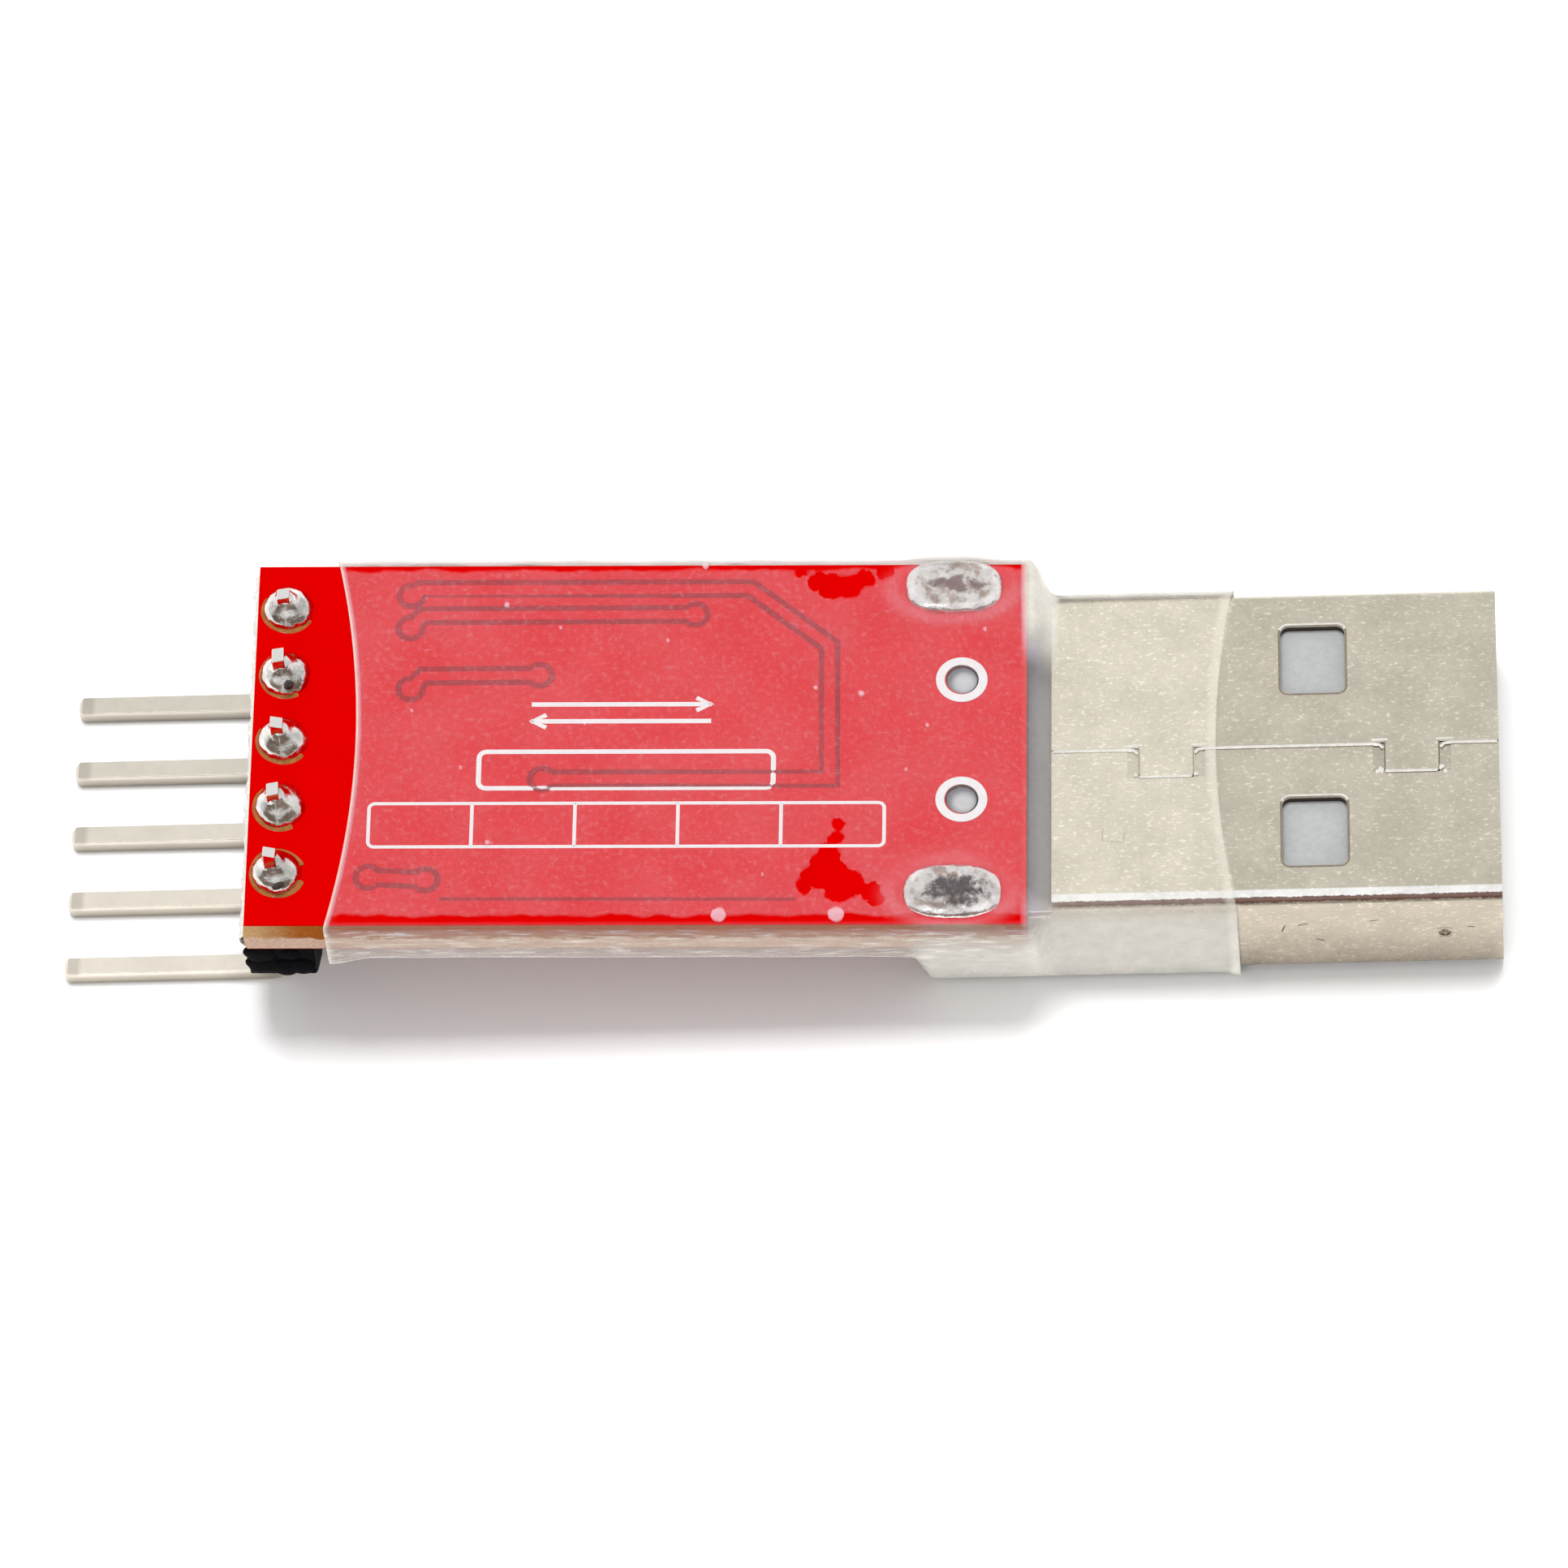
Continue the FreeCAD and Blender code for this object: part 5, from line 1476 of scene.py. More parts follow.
@dataclass
class PlugAssembly:
    """Shell, insulator and contacts, with the two joints over the shell's tabs.

    Attributes:
        joint_height: Height of a tab joint.
        tongues: Middle of each of the seam's tongues along the module.
        curl: How the rolled edge turns down beside a tongue, from its middle.
        drop: How far a tongue's foot lies beside the seam.
        foot: Ends of a tongue's foot, from its middle.
        roll: Line of the rolled edge, drawn as a painted highlight.
        foot_roll: Line of the rolled foot, drawn as a painted highlight.
        shade: Dark line in the seam's gap, painted shade.
        shade_shift: How far it lies beside the rolled edge.
        flash: Line of the stakes' bright faces, a painted highlight.
        leg: Dark line down the sides of a tongue, painted shade.
        mark: Outline of the faint mark that shows under the film.
        mark_stroke: Line of that mark.
        window_half: Half length and half width of a window's rim.
        window_bend: Radius of a window's corners.
        rim: Line round a window, drawn in painted shade, and round the pressed mark.
        far_rim: Bright line along a window's far side, a painted highlight.
        scratches: Place along, height, length and turn of each scratch on the near side.
        scratch: Line of a scratch.
        chips: Place along, place across and size of each raised sliver with a painted glint.
    """

    joint_height: float = 0.46
    tongues: tuple[float, float] = (21.274, 13.114)
    curl: Path = ((1.28, 0.0), (1.07, -0.03), (0.94, -0.17))
    drop: float = 1.05
    foot: tuple[float, float] = (0.84, -0.9)
    roll: Stroke = (0.12, 0.035)
    foot_roll: Stroke = (0.11, 0.035)
    shade: Stroke = (0.035, 0.02)
    shade_shift: tuple[float, float] = (0.075, 0.07)
    flash: Stroke = (0.09, 0.03)
    leg: Stroke = (0.045, 0.012)
    mark: Path = ((11.0, -2.9), (10.98, -3.35), (11.7, -3.42), (11.72, -3.05))
    mark_stroke: Stroke = (0.05, 0.012)
    window_half: tuple[float, float] = (1.115, 1.34)
    window_bend: float = 0.3
    rim: Stroke = (0.08, 0.02)
    far_rim: Stroke = (0.1, 0.03)
    scratches: tuple[tuple[float, float, float, float], ...] = (
        (17.55, 3.15, 0.35, 20.0), (19.9, 3.3, 0.3, 12.0), (18.1, 2.1, 0.3, -25.0),
        (23.1, 2.75, 0.25, -10.0), (16.9, 2.9, 0.4, 75.0),
    )
    scratch: Stroke = (0.045, 0.006)
    chips: tuple[tuple[float, float, float], ...] = (
        (20.22, -1.02, 0.12), (22.25, -0.96, 0.09), (22.38, -1.12, 0.08),
        (20.12, -1.08, 0.07), (12.1, -1.0, 0.08), (14.1, -1.0, 0.08),
    )

    def build(self) -> None:
        """Make the plug's pieces."""
        self.make_shell()
        self.make_seam()
        self.make_window_rims()
        dressed_copy("plug_insulator", "plug_moulding", WHITE, Slot.WHITE, 0.05)
        for index in range(1, 5):
            dressed_copy(
                f"plug_contact_{index}", f"stamped_contact_{index}", GOLD, Slot.CONTACT, 0.03
            )
        self.make_tab_joint("far", 1.0, 0.0)
        self.make_tab_joint("near", -1.0, 1.0)
        self.make_chips()
        self.make_scratches()
        self.make_dimple()

    def make_shell(self) -> None:
        """Folded shell with smooth bends between its flat faces."""
        bm = merged_copy("plug_shell")
        for edge in bm.edges:
            level = [max(abs(value) for value in face.normal) > 0.9999 for face in edge.link_faces]
            turn = math.degrees(edge.calc_face_angle(0.0))
            edge.smooth = turn < 0.5 or (turn < SHARP and level[0] == level[1])
        piece = finish_mesh(bm, "folded_shell", [NICKEL], None, None)
        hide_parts("plug_shell")

    def make_seam(self) -> None:
        """Seam's rolled edge and tongue stakes, as painted highlight and shade lines, and a mark.
        """
        seam = PLUG.shift - 0.02
        low, shade = seam - self.drop, seam - self.shade_shift[0]
        low_shade = low - self.shade_shift[1]
        bright, dark = bmesh.new(), bmesh.new()
        start, rear = PLUG.tip - 0.05, PLUG.top_edge + 0.05
        run = [(start, seam)]
        for middle in self.tongues:
            run += [(middle + along, seam + across) for along, across in self.curl]
            add_line(bright, run, self.roll)
            foot = [middle + along for along in self.foot]
            add_line(bright, [(x, low) for x in foot], self.foot_roll)
            add_line(dark, ((start, shade), (middle + self.curl[0][0], shade)), self.shade)
            add_line(dark, [(x, low_shade) for x in foot], self.shade)
            for side in (-1, 1):
                stake, leg = middle + side * 1.07, middle + side * 0.89
                add_line(
                    bright, ((stake + 0.26, seam + 0.17), (stake - 0.26, seam + 0.15)), self.flash
                )
                add_line(dark, ((leg, seam + 0.1), (leg, low + 0.08)), self.leg)
            run = [(middle - along, seam + across) for along, across in self.curl[::-1]]
            start = run[-1][0]
        add_line(bright, [*run, (rear, seam)], self.roll)
        add_line(dark, ((start, shade), (rear, shade)), self.shade)
        add_line(dark, self.mark, self.mark_stroke)
        # Bright lines are painted highlights; dark lines are painted shade, with the mark among
        # them.
        finish_mesh(bright, "seam_edge", [PAINTED_HIGHLIGHT], PLUG.on_top(-0.004), LINE)
        finish_mesh(dark, "seam_shade", [PAINTED_SHADE_AND_MARK], PLUG.on_top(-0.004), LINE)

    def make_window_rims(self) -> None:
        """Window rims: painted shade all round, and a painted highlight along the far side."""
        middle, offset = PLUG.window
        half, wide = self.window_half
        for name, side in (("far", 1), ("near", -1)):
            y = PLUG.shift + side * offset
            outline = rounded_box(
                (middle - half, middle + half, y - wide, y + wide), self.window_bend
            )
            bm = bmesh.new()
            add_line(bm, outline, self.rim, True)
            finish_mesh(bm, f"window_rim_{name}", [PAINTED_SHADE_AND_MARK], PLUG.on_top(-0.004), LINE)
            bm = bmesh.new()
            add_line(
                bm, [point for point in outline if point[1] > y + wide - 0.25][::-1], self.far_rim
            )
            finish_mesh(
                bm, f"window_roll_{name}", [PAINTED_HIGHLIGHT], PLUG.on_top(-0.002, 0.03), LINE
            )

    def make_tab_joint(self, name: str, side: float, darkened: float) -> None:
        """Pillow of solder with the tab's end showing in its middle.

        Args:
            name: Side of the board.
            side: 1 for the far side, -1 for the near side.
            darkened: 1 for a darker, rougher middle.
        """
        local_x = (PLUG.tab - BOARD.origin[0]) / math.cos(math.radians(BOARD.tilt)) + 0.035
        local_y = PLUG.shift + side * (PLUG.half_width - PLUG.tab_inset)
        power = PLUG.joint_power
        bm = bmesh.new()
        bmesh.ops.create_uvsphere(bm, u_segments=96, v_segments=48, radius=1.0)
        every = bm.verts[:] + bm.edges[:] + bm.faces[:]
        bmesh.ops.bisect_plane(
            bm, geom=every, plane_co=(0, 0, 0), plane_no=(0, 0, -1), clear_outer=True
        )
        for vert in bm.verts:
            radius = Vector((vert.co.x, vert.co.y)).length
            turn = math.atan2(vert.co.y, vert.co.x)
            stretch = (abs(math.cos(turn)) ** power + abs(math.sin(turn)) ** power) ** (-1 / power)
            x = math.cos(turn) * radius * stretch * PLUG.joint_half[0]
            y = math.sin(turn) * radius * stretch * PLUG.joint_half[1]
            rise = max(1.0 - radius ** power, 0.0) ** 0.55
            groove = bell(y - 0.05, 0.26) * (1.0 - smooth(0.55, 1.1, abs(x)))
            z = self.joint_height * rise - 0.06 * groove * rise
            place = Vector((x, y, z))
            rough = 0.03 * bump_at(place, 1.3, side * 5)
            rough += (0.02 + 0.03 * darkened) * bump_at(place, 5.0, side * 3) * rise
            x *= 1 + 0.02 * bump_at(place, 0.9, 2 + side)
            vert.co = Vector((x, y, max(z + rough * rise, 0.0)))
        bmesh.ops.remove_doubles(bm, verts=bm.verts, dist=MERGE)
        bmesh.ops.recalc_face_normals(bm, faces=bm.faces)
        finish = SolderFinish(
            f"tab_solder_{name}", (0.84, 0.815, 0.77), 0.12, 1.0, coarse=0.9, fine=2.2, shade=0.32,
            relief=0.10, middle=(local_x, local_y), reach=(1.25, 0.72) if darkened else (1.15, 0.42),
            dark_tone=(0.055, 0.045, 0.03) if darkened else (0.24, 0.16, 0.14),
        )
        piece = finish_mesh(
            bm, f"tab_joint_{name}", [finish], BOARD.at(local_x, local_y), LUMPY
        )
        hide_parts(f"tab_solder_{name}")

    def make_chips(self) -> None:
        """Slivers raised where the seam's tongues were pressed, with a painted glint."""
        for number, (x, y, size) in enumerate(self.chips, start=1):
            bm = bmesh.new()
            add_lump(bm, 2, size, (1.0, 1.0, 0.35), (0.6, 9.0, number * 2.0))
            place = Matrix.Translation((x, PLUG.shift + y, PLUG.top - 0.01))
            finish_mesh(bm, f"seam_chip_{number}", [PAINTED_HIGHLIGHT], place, 20.0)

    def make_scratches(self) -> None:
        """Short dark hairline scratches on the shell's near side."""
        bm = bmesh.new()
        for x, z, length, turn in self.scratches:
            angle = math.radians(turn)
            half = Vector((math.cos(angle), math.sin(angle))) * length / 2
            path = ((x - half.x, z - half.y), (x, z + 0.015), (x + half.x, z + half.y))
            add_line(bm, path, self.scratch)
        finish_mesh(bm, "side_scratches", [SOOT], PLUG.on_side(), LINE)

    def make_dimple(self) -> None:
        """Small pressed mark on the near side: a low oval rim round a blunt peak."""
        bm = bmesh.new()
        turns = [2 * math.pi * step / 40 for step in range(40)]
        add_line(
            bm, [(math.cos(turn) * 0.36, math.sin(turn) * 0.3) for turn in turns], self.rim, True
        )
        cone = bmesh.ops.create_cone(
            bm, cap_ends=True, segments=3, radius1=0.2, radius2=0.03, depth=0.09
        )
        quarter = Matrix.Rotation(math.radians(90), 3, "Z")
        bmesh.ops.rotate(bm, verts=cone["verts"], cent=(0, 0, 0), matrix=quarter)
        finish_mesh(
            bm, "pressed_mark", [PRESSED], PLUG.on_side(PLUG.tip - 1.92, 2.4), ROUNDED
        )


# The component side


@dataclass
class ComponentSide:
    """Chip and two-ended parts under the board.

    Attributes:
        share: Share of a part's length that each plated end takes.
        kinds: Node, name, finish and slot of each kind of part, and whether it lies across.
        number: How many parts there are of each kind.
        radius: Edge radius of the parts.
        chip_mark: How far the first-pin mark lies from the chip's middle.
        chip_height: Height of the chip's face below the board.
    """

    share: float = 0.2
    kinds: tuple[tuple[str, str, Finish, Slot, bool], ...] = (
        ("signal_led_{}", "lamp_{}", LAMP, Slot.LAMP, True),
        ("led_resistor_{}", "resistor_{}", RESISTOR, Slot.RESISTOR, True),
        ("capacitor_{}", "ceramic_{}", CERAMIC, Slot.CAPACITOR, False),
    )
    number: int = 3
    radius: float = 0.03
    chip_mark: float = 1.8
    chip_height: float = 0.855

    def build(self) -> None:
        """Make the parts and their plated ends."""
        dressed_copy("bridge_chip", "chip_package", CHIP, Slot.CHIP, self.radius)
        self.make_mark()
        for node, name, finish, slot, turned in self.kinds:
            for number in range(1, self.number + 1):
                dressed_copy(node.format(number), name.format(number), finish, slot, self.radius)
                self.make_ends(node.format(number), name.format(number) + "_ends", turned)
        dressed_copy("resettable_fuse", "fuse_chip", FUSE, Slot.FUSE, self.radius)
        self.make_ends("resettable_fuse", "fuse_chip_ends", True)

    def make_ends(self, node: str, name: str, turned: bool) -> None:
        """Plated ends over the ends of one part.

        Args:
            node: Node of the part.
            name: Name of the piece.
            turned: True where the part lies across the board.
        """
        low, high = (Vector(corner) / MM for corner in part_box(node))
        centre = BOARD.matrix().inverted() @ ((low + high) / 2)
        size = high - low
        long, wide = (size.y, size.x) if turned else (size.x, size.y)
        lean = math.sin(math.radians(BOARD.tilt))
        depth = size.z - size.x * lean
        wide -= depth * lean if turned else 0.0
        bm = bmesh.new()
        for side in (-1, 1):
            made = bmesh.ops.create_cube(bm, size=1.0)["verts"]
            bmesh.ops.scale(
                bm, vec=(long * self.share + 0.03, wide + 0.03, depth + 0.02), verts=made
            )
            bmesh.ops.translate(bm, vec=(side * long * (0.5 - self.share / 2), 0, 0), verts=made)
        bmesh.ops.bevel(
            bm, geom=bm.edges[:], offset=2 * self.radius, segments=3, profile=0.5, affect="EDGES",
            material=-1, clamp_overlap=True,
        )
        turn = Matrix.Rotation(math.radians(90 if turned else 0), 4, "Z")
        place = BOARD.at(centre.x, centre.y, -BOARD.thickness - depth / 2) @ turn
        finish_mesh(bm, name, [TIN], place)

    def make_mark(self) -> None:
        """Round first-pin mark pressed in the chip."""
        low, high = (Vector(corner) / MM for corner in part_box("bridge_chip"))
        centre = BOARD.matrix().inverted() @ ((low + high) / 2)
        bm = bmesh.new()
        bmesh.ops.create_cone(bm, cap_ends=True, segments=32, radius1=0.3, radius2=0.26, depth=0.03)
        place = BOARD.at(
            centre.x - self.chip_mark, self.chip_mark, -BOARD.thickness - self.chip_height
        )
        finish_mesh(bm, "chip_first_pin_mark", [PRINT], place)


# The shrunk sleeve


@dataclass(frozen=True)
class Milk:
    """How milky the film is at its thick and folded places.

    Attributes:
        free_edge: The cut edge over the board.
        plug_edge: The cut edge over the plug.
        flare: The flared corner near the floor.
        side: The board's sides.
        far_edge: The upper edge of the far side, over board and plug.
        lip: The fold under the board's edge.
        belly: The film under the board.
        bridge: The slope from board to plug: everywhere, towards its far and its near side.
        plug_side: The plug's sides: everywhere, and more of it low down.
        joint_rim: The film round the tab joints.
    """

    free_edge: float = 0.38
    plug_edge: float = 0.16
    flare: float = 0.35
    side: float = 0.04
    far_edge: float = 0.34
    lip: float = 0.42
    belly: float = 0.10
    bridge: tuple[float, float, float] = (0.02, 0.45, 0.12)
    plug_side: tuple[float, float] = (0.40, 0.13)
    joint_rim: float = 0.05


@dataclass
class ShrunkSleeve:
    """Clear film over board and plug, as a draped tube with bowed ends.

    Attributes:
        wall: Distance of the drawn outer face from the pieces inside, past the gap.
        gap: Gap between the film and what it covers.
        film: Thickness of the drawn film.
        right: Middle place of the end over the plug.
        rise: Height of the swellings over the tab joints.
        ridge: Sideways place where the flat top starts to bend down.
        board_corner: Size of the bend along the board's edge.
        plug_corner: Size of the bend along the plug's edge.
        lip: How far the film goes straight down past the board's side.
        belly: How far it hangs below the board.
        belly_inset: How far its belly lies inside the board's side.
        floor_gap: Height of the film's underside over the floor, at the plug.
        swell_half: Half length and half width of the swellings.
        drape: Heights of the wide and the narrow waves of the drape.
        crease: Height of the creases at the far corner of the slope to the plug.
        crumple: Height of the crumples under the near tab joint.
        flare: How far the end over the plug stands out near the floor.
        tuck: How far the free end draws in under the board, and how far it sags.
        runs: Points on each stretch of the half section, from the middle outwards.
        top_run: Points across the top.
        bottom_run: Points across the underside.
        spacing: Distance between rings.
        end_rings: Further rings close to the ends, as shares of the length.
        milk: How milky each place is.
        sections: Outlines that are already worked out, by place.
    """

    wall: float = 0.13
    gap: float = 0.05
    film: float = 0.09
    right: float = 14.78
    rise: float = 0.5
    ridge: float = 4.935
    board_corner: float = 0.12
    plug_corner: float = 0.3
    lip: float = 0.3
    belly: float = 1.25
    belly_inset: float = 1.8
    floor_gap: float = 0.15
    swell_half: tuple[float, float] = (2.15, 1.4)
    drape: tuple[float, float] = (0.016, 0.008)
    crease: float = 0.035
    crumple: float = 0.06
    flare: float = 0.17
    tuck: tuple[float, float] = (0.16, 0.14)
    runs: tuple[int, ...] = (9, 13, 5, 12, 7, 7)
    top_run: int = 56
    bottom_run: int = 36
    spacing: float = 0.19
    end_rings: tuple[float, ...] = (0.0015, 0.003, 0.995, 0.9975)
    milk: Milk = Milk()
    sections: dict[float, list[Vector]] = field(default_factory=dict)

    def corners(self, x: float, kind: str) -> list[Vector]:
        """Corners of the half section of one kind, as (across, height, shift) from the top.

        Args:
            x: Place along the module.
            kind: "board" over the free board, "both" over board and plug, "plug" over the plug.

        Returns:
            Seven corners.
        """
        deck = BOARD.deck(x)
        keel = deck - BOARD.thickness
        cover = self.gap + self.wall
        plug_side = PLUG.half_width + cover
        if kind == "plug":
            side, corner, roof, shift = plug_side, self.plug_corner, PLUG.top + cover, PLUG.shift
        else:
            side, corner = BOARD.width / 2 + 0.06 + cover, self.board_corner
            roof, shift = deck + cover, 0.0
        upper = [
            (self.ridge - 1.0, roof, shift), (self.ridge, roof, shift),
            (side - corner, roof, shift), (side, roof - corner, shift),
        ]
        if kind == "board":
            foot, belly = keel - self.lip, keel - self.belly - self.wall
            inset = self.belly_inset - self.wall
            lower = [
                (side, foot, 0.0), (side - inset / 2, (foot + belly) / 2, 0.0),
                (side - inset, belly, 0.0)
            ]
        else:
            floor, bend = self.floor_gap - self.wall, self.plug_corner
            waist = (roof + floor) / 2 if kind == "plug" else keel - cover
            lower = [
                (side, waist, shift), (plug_side, floor + bend, PLUG.shift),
                (plug_side - bend, floor, PLUG.shift),
            ]
        return [Vector(item) for item in upper + lower]

    def away_from_joint(self, x: float, y: float) -> float:
        """Distance from the middle of the nearer tab joint, as a share of the swelling's size."""
        across = (abs(y - PLUG.shift) - PLUG.half_width + PLUG.tab_inset) / self.swell_half[1]
        return math.hypot((x - PLUG.tab) / self.swell_half[0], across)

    def half_section(self, x: float) -> list[Vector]:
        """Half section at one place, blended between its kinds."""
        step = smooth(PLUG.rear - 1.0, PLUG.rear - 0.2, x)
        over = smooth(BOARD.along(BOARD.length / 2) + 0.06, PLUG.top_edge + 0.15, x)
        kinds = [self.corners(x, kind) for kind in ("board", "both", "plug")]
        return [first.lerp(second, step).lerp(third, over) for first, second, third in zip(*kinds)]

    def ring(self, x: float) -> list[Vector]:
        """Closed outline of the film's outer face at one place, as (x, across, height)."""
        half = self.half_section(x)
        far = [Vector((x, item.z + item.x, item.y)) for item in half]
        near = [Vector((x, item.z - item.x, item.y)) for item in half]
        loop = far + near[::-1]
        counts = [*self.runs, self.bottom_run, *self.runs[::-1], self.top_run]
        points = []
        for start, end, count in zip(loop, loop[1:] + loop[:1], counts):
            points += [start.lerp(end, step / count) for step in range(count)]
        for _ in range(2):
            points = [
                (points[index - 1] + point * 2 + points[(index + 1) % len(points)]) / 4
                for index, point in enumerate(points)
            ]
        return points

    def end_offset(self, across: float) -> float:
        """How far the bowed edge at one sideways place lies outside its middle."""
        return COVER.bow * min((across / COVER.board_half) ** 2, 1.1)

    def left_edge(self, across: float) -> float:
        """Place of the free end's edge along the module."""
        return BOARD.along(COVER.start) - self.end_offset(across)

    def right_edge(self, across: float) -> float:
        """Place of the edge over the plug along the module."""
        return self.right + self.end_offset(across - PLUG.shift)

    def haze(self, place: Vector) -> float:
        """Milkiness of the film at one point.

        Args:
            place: Point on the film.

        Returns:
            Share that is added to how solid the film looks.
        """
        return self.end_haze(place) + self.board_haze(place) + self.plug_haze(place)

    def end_haze(self, place: Vector) -> float:
        """Milkiness of the two cut ends and of the flared corner."""
        x, y, z = place
        right = self.right_edge(y) - x
        free_edge = self.milk.free_edge * bell(x - self.left_edge(y), 0.09)
        plug_edge = self.milk.plug_edge * smooth(0.36, 0.24, right)
        corner = smooth(1.3, 0.3, z) * smooth(-5.9, -6.1, y - PLUG.shift)
        return free_edge + plug_edge + self.milk.flare * smooth(0.45, 0.1, right) * corner

    def board_haze(self, place: Vector) -> float:
        """Milkiness round the board, under it and round the tab joints."""
        x, y, z = place
        deck = BOARD.deck(x)
        keel = deck - BOARD.thickness
        before_slope = smooth(9.6, 8.8, x)
        before_plug = 1.0 - smooth(PLUG.rear - 0.4, PLUG.rear + 0.2, x)
        side = self.milk.side * smooth(6.93, 7.06, abs(y)) * before_slope
        far_edge = self.milk.far_edge * smooth(6.9, 7.1, y) * before_slope * smooth(keel, deck, z)
        lip = self.milk.lip * before_plug * bell(z - keel + 0.28, 0.14) * smooth(6.4, 6.9, abs(y))
        belly = self.milk.belly * before_plug * smooth(keel - 0.35, keel - 0.5, z)
        rim = bell(self.away_from_joint(x, y) - 0.98, 0.13) * smooth(deck, deck + 0.1, z)
        inner = smooth(
            0.9, -0.9, y - PLUG.shift - math.copysign(PLUG.half_width - PLUG.tab_inset, y)
        )
        return side + far_edge + lip + belly + self.milk.joint_rim * rim * inner

    def plug_haze(self, place: Vector) -> float:
        """Milkiness of the slope from board to plug, and of the film round the plug."""
        x, y, z = place
        across = y - PLUG.shift
        deck = BOARD.deck(x)
        even, far, near = self.milk.bridge
        slope = smooth(8.35, 8.6, x) * smooth(9.7, 9.3, x)
        slope *= even + far * smooth(2.6, 5.2, y) + near * smooth(-5.5, -6.6, y)
        far_edge = self.milk.far_edge * smooth(5.98, 6.16, across)
        far_edge *= smooth(9.0, 9.6, x) * smooth(3.4, 4.2, z)
        even, low = self.milk.plug_side
        side = smooth(5.95, 6.15, abs(across)) * smooth(PLUG.rear - 1.2, PLUG.rear, x)
        side *= (even + low * smooth(3.9, 1.2, z)) * smooth(deck + 0.1, deck - 1.8, z)
        return slope + far_edge + side

    def streaks(self, place: Vector) -> float:
        """Share of long white streaks in the film at one point, on its near and far sides."""
        x, y, z = place
        below = smooth(BOARD.deck(x) + 0.1, BOARD.deck(x) - 0.3, z)
        return smooth(6.9, 7.05, abs(y)) * smooth(9.0, 8.0, x) * below

    def wrinkle(self, place: Vector) -> Vector:
        """Small shift of one point by the film's drape and creases."""
        x, y, z = place
        deck = BOARD.deck(x)
        soft = self.drape[0] * bump_at(place, 0.55, 3.0) + self.drape[1] * bump_at(place, 1.7, 8.0)
        corner = smooth(8.3, 8.7, x) * smooth(9.9, 9.4, x) * smooth(2.8, 5.0, y)
        crease = self.crease * math.sin(y * 16.0 + x * 5.0) * corner
        below = smooth(2.2, 3.4, x) * smooth(9.0, 8.0, x)
        below *= smooth(-6.6, -7.0, y) * smooth(4.9, 4.2, z)
        crumple = self.crumple * bump_at(place, 2.6, 5.0) * below
        swell = self.rise * smooth(1.22, 0.35, self.away_from_joint(x, y)) * smooth(9.3, 8.4, x)
        end = smooth(1.5, 0.0, x - self.left_edge(y)) * smooth(-6.85, -7.05, y)
        end *= smooth(deck - 0.5, deck - 1.5, z)
        flare = self.flare * smooth(14.8, 15.25, x) * smooth(1.2, 0.2, z) * math.copysign(1.0, y)
        outward = math.copysign(1.0, y) if abs(y) > 6.0 else 0.0
        lift = 1.0 if z > deck - 0.1 or x > PLUG.top_edge else 0.0
        across = outward * (soft + crumple) + (flare - self.tuck[0] * end) * abs(outward)
        return Vector((0.0, across, lift * (soft + crease + swell) - self.tuck[1] * end))

    def build(self) -> None:
        """Make the film and let it stand for the sleeve's solid."""
        count = len(self.ring(0.0))
        first, last = BOARD.along(COVER.start), self.right
        inner = max(int((last - first) / self.spacing), 2)
        shares = sorted({index / inner for index in range(inner + 1)} | set(self.end_rings))
        bm = bmesh.new()
        milk = bm.verts.layers.float.new("haze")
        lines = bm.verts.layers.float.new("streaks")
        bmesh.ops.create_grid(bm, x_segments=len(shares) - 1, y_segments=count, size=1.0)
        rings = [self.ring(blend(first, last, share)) for share in shares]
        for vert in bm.verts:
            column = round((vert.co.x + 1) / 2 * (len(shares) - 1))
            row = round((vert.co.y + 1) / 2 * count) % count
            nominal = blend(first, last, shares[column])
            across = rings[column][row].y
            near_left = smooth(first + 4.0, first, nominal)
            near_right = smooth(last - 3.0, last, nominal)
            x = nominal - self.end_offset(across) * near_left
            x += self.end_offset(across - PLUG.shift) * near_right
            point = self.point(x, row)
            vert[milk] = self.haze(point)
            vert[lines] = self.streaks(point)
            vert.co = point + self.wrinkle(point)
        bmesh.ops.remove_doubles(bm, verts=bm.verts, dist=MERGE)
        bmesh.ops.recalc_face_normals(bm, faces=bm.faces)
        piece = finish_mesh(bm, "shrunk_film", [FILM, FILM_END], None, SEAMLESS)
        skin = piece.modifiers.new("wall", "SOLIDIFY")
        skin.thickness = self.film * MM
        skin.offset = -1.0
        skin.material_offset_rim = 1
        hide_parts("heat_shrink_sleeve")

    def point(self, x: float, row: int) -> Vector:
        """Point of the outer face at one place along and one step round the section."""
        key = round(x, 3)
        if key not in self.sections:
            self.sections[key] = self.ring(key)
        found = self.sections[key][row]
        return Vector((x, found.y, found.z))


# Floor, light and camera


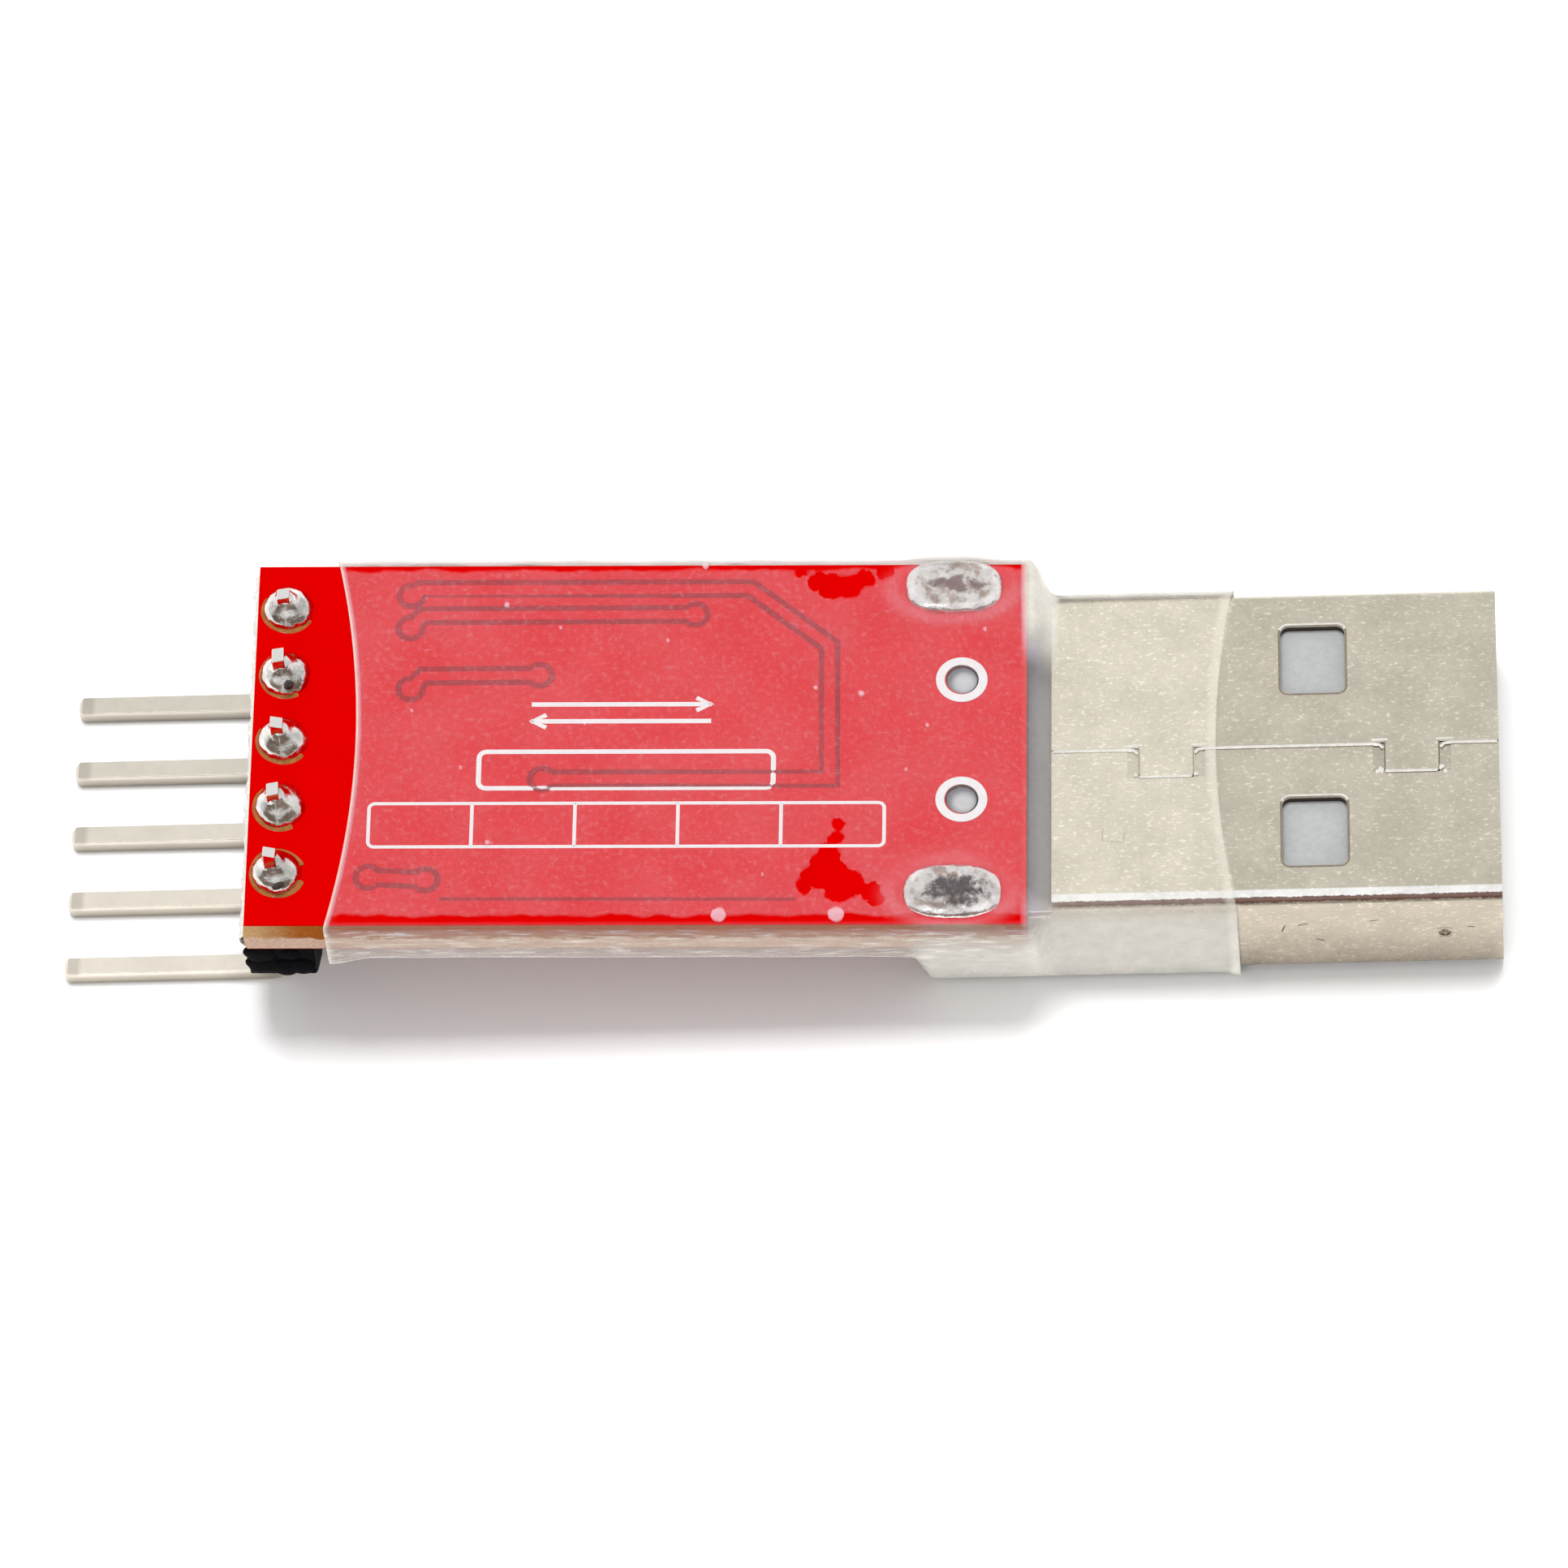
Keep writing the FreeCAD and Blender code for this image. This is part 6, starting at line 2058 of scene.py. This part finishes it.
@dataclass
class Studio:
    """Pale floor, soft light and the camera of the main picture.

    Attributes:
        camera: Place of the camera.
        aim: Point that the camera looks at.
        roll: Turn about the view, in degrees.
        lens: Focal length in millimetres.
        sensor: Width of the picture behind the lens, in millimetres.
        sky: Brightness of the surroundings.
        lamps: Name, place and size in metres, power in watts and show in reflections of each lamp.
        mirrored: Colours of the surroundings and of their dark band, as reflections see them.
        behind: Colour that the camera sees past the floor.
    """

    camera: tuple[float, float, float] = (23.5793, -166.2392, 290.4437)
    aim: tuple[float, float, float] = (0.4744, -1.5824, 5.8916)
    roll: float = -8.2967
    lens: float = 228.035
    sensor: float = 36.0
    sky: float = 0.7
    lamps: tuple[tuple[str, tuple[float, float, float], tuple[float, float], float, bool], ...] = (
        ("soft_box", (0.0, 0.17, 0.8), (0.34, 0.25), 5.8, False),
        ("glint", (-0.22, -0.5, 0.62), (0.13, 0.1), 0.5, True),
    )
    mirrored: tuple[Colour, Colour] = ((1.36, 1.36, 1.36), (0.35, 0.27, 0.22))
    behind: Colour = (1.5, 1.5, 1.5)

    def build(self) -> None:
        """Make the floor, the lights and the camera."""
        self.make_floor()
        self.make_sky()
        for lamp in self.lamps:
            self.make_lamp(*lamp)
        self.make_camera()
        bpy.context.scene.view_settings.view_transform = "Standard"

    def make_floor(self) -> None:
        """Wide pale floor."""
        bm = bmesh.new()
        bmesh.ops.create_grid(bm, x_segments=1, y_segments=1, size=2.0)
        mesh = bpy.data.meshes.new("floor")
        bm.to_mesh(mesh)
        bm.free()
        floor = bpy.data.objects.new("floor", mesh)
        bpy.context.scene.collection.objects.link(floor)
        mesh.materials.append(material_of(FLOOR))

    def make_sky(self) -> None:
        """Even surroundings with a dark band low in front, which only reflections see."""
        world = bpy.data.worlds.new("surroundings")
        bpy.context.scene.world = world
        world.use_nodes = True
        world.node_tree.nodes.clear()
        wire = Wiring(world.node_tree)
        _, y, z = wire.parts(wire.add("TexCoord").outputs["Generated"])
        low = wire.times(wire.step(z, 0.55, 0.3, 0.0, 1.0), wire.step(y, -0.1, -0.4))
        rays = wire.add("LightPath").outputs
        lit = wire.mix(rays["Is Glossy Ray"], (1.0, 1.0, 1.0), wire.mix(low, *self.mirrored))
        seen = wire.mix(rays["Is Camera Ray"], lit, self.behind)
        light = wire.add("Background", {"Color": seen, "Strength": self.sky})
        wire.add("OutputWorld", {"Surface": light.outputs[0]})

    def make_lamp(self, name: str, place: Sequence[float], size: tuple[float, float], power: float,
                  mirrored: bool) -> None:
        """Soft lamp that faces the module.

        Args:
            name: Name of the lamp.
            place: Where it hangs, in metres.
            size: Width and depth of the lamp.
            power: Power in watts.
            mirrored: True to let it show in reflections.
        """
        data = bpy.data.lights.new(name, "AREA")
        data.energy = power
        data.shape = "RECTANGLE"
        data.size, data.size_y = size
        lamp = bpy.data.objects.new(name, data)
        lamp.visible_glossy = mirrored
        lamp.location = place
        lamp.rotation_euler = (-lamp.location).to_track_quat("-Z", "Y").to_euler()
        bpy.context.scene.collection.objects.link(lamp)

    def make_camera(self) -> None:
        """Camera at the picture's viewing angle."""
        data = bpy.data.cameras.new("camera")
        data.sensor_width = self.sensor
        data.lens = self.lens
        data.clip_start, data.clip_end = 0.01, 10.0
        camera = bpy.data.objects.new("camera", data)
        place, aim = Vector(self.camera) * MM, Vector(self.aim) * MM
        facing = (aim - place).to_track_quat("-Z", "Y").to_matrix()
        turn = facing @ Matrix.Rotation(math.radians(self.roll), 3, "Z")
        camera.matrix_world = Matrix.Translation(place) @ turn.to_4x4()
        bpy.context.scene.collection.objects.link(camera)
        bpy.context.scene.camera = camera


def main() -> None:
    """Build the module's pieces and the studio."""
    logging.basicConfig(level=logging.INFO, format="%(name)s %(message)s")
    assemblies = (
        BoardAssembly(), HeaderAssembly(), PlugAssembly(), ComponentSide(), ShrunkSleeve(), Studio()
    )
    for assembly in assemblies:
        assembly.build()
        LOG.info("built %s", type(assembly).__name__)


if __name__ == "__main__":
    main()
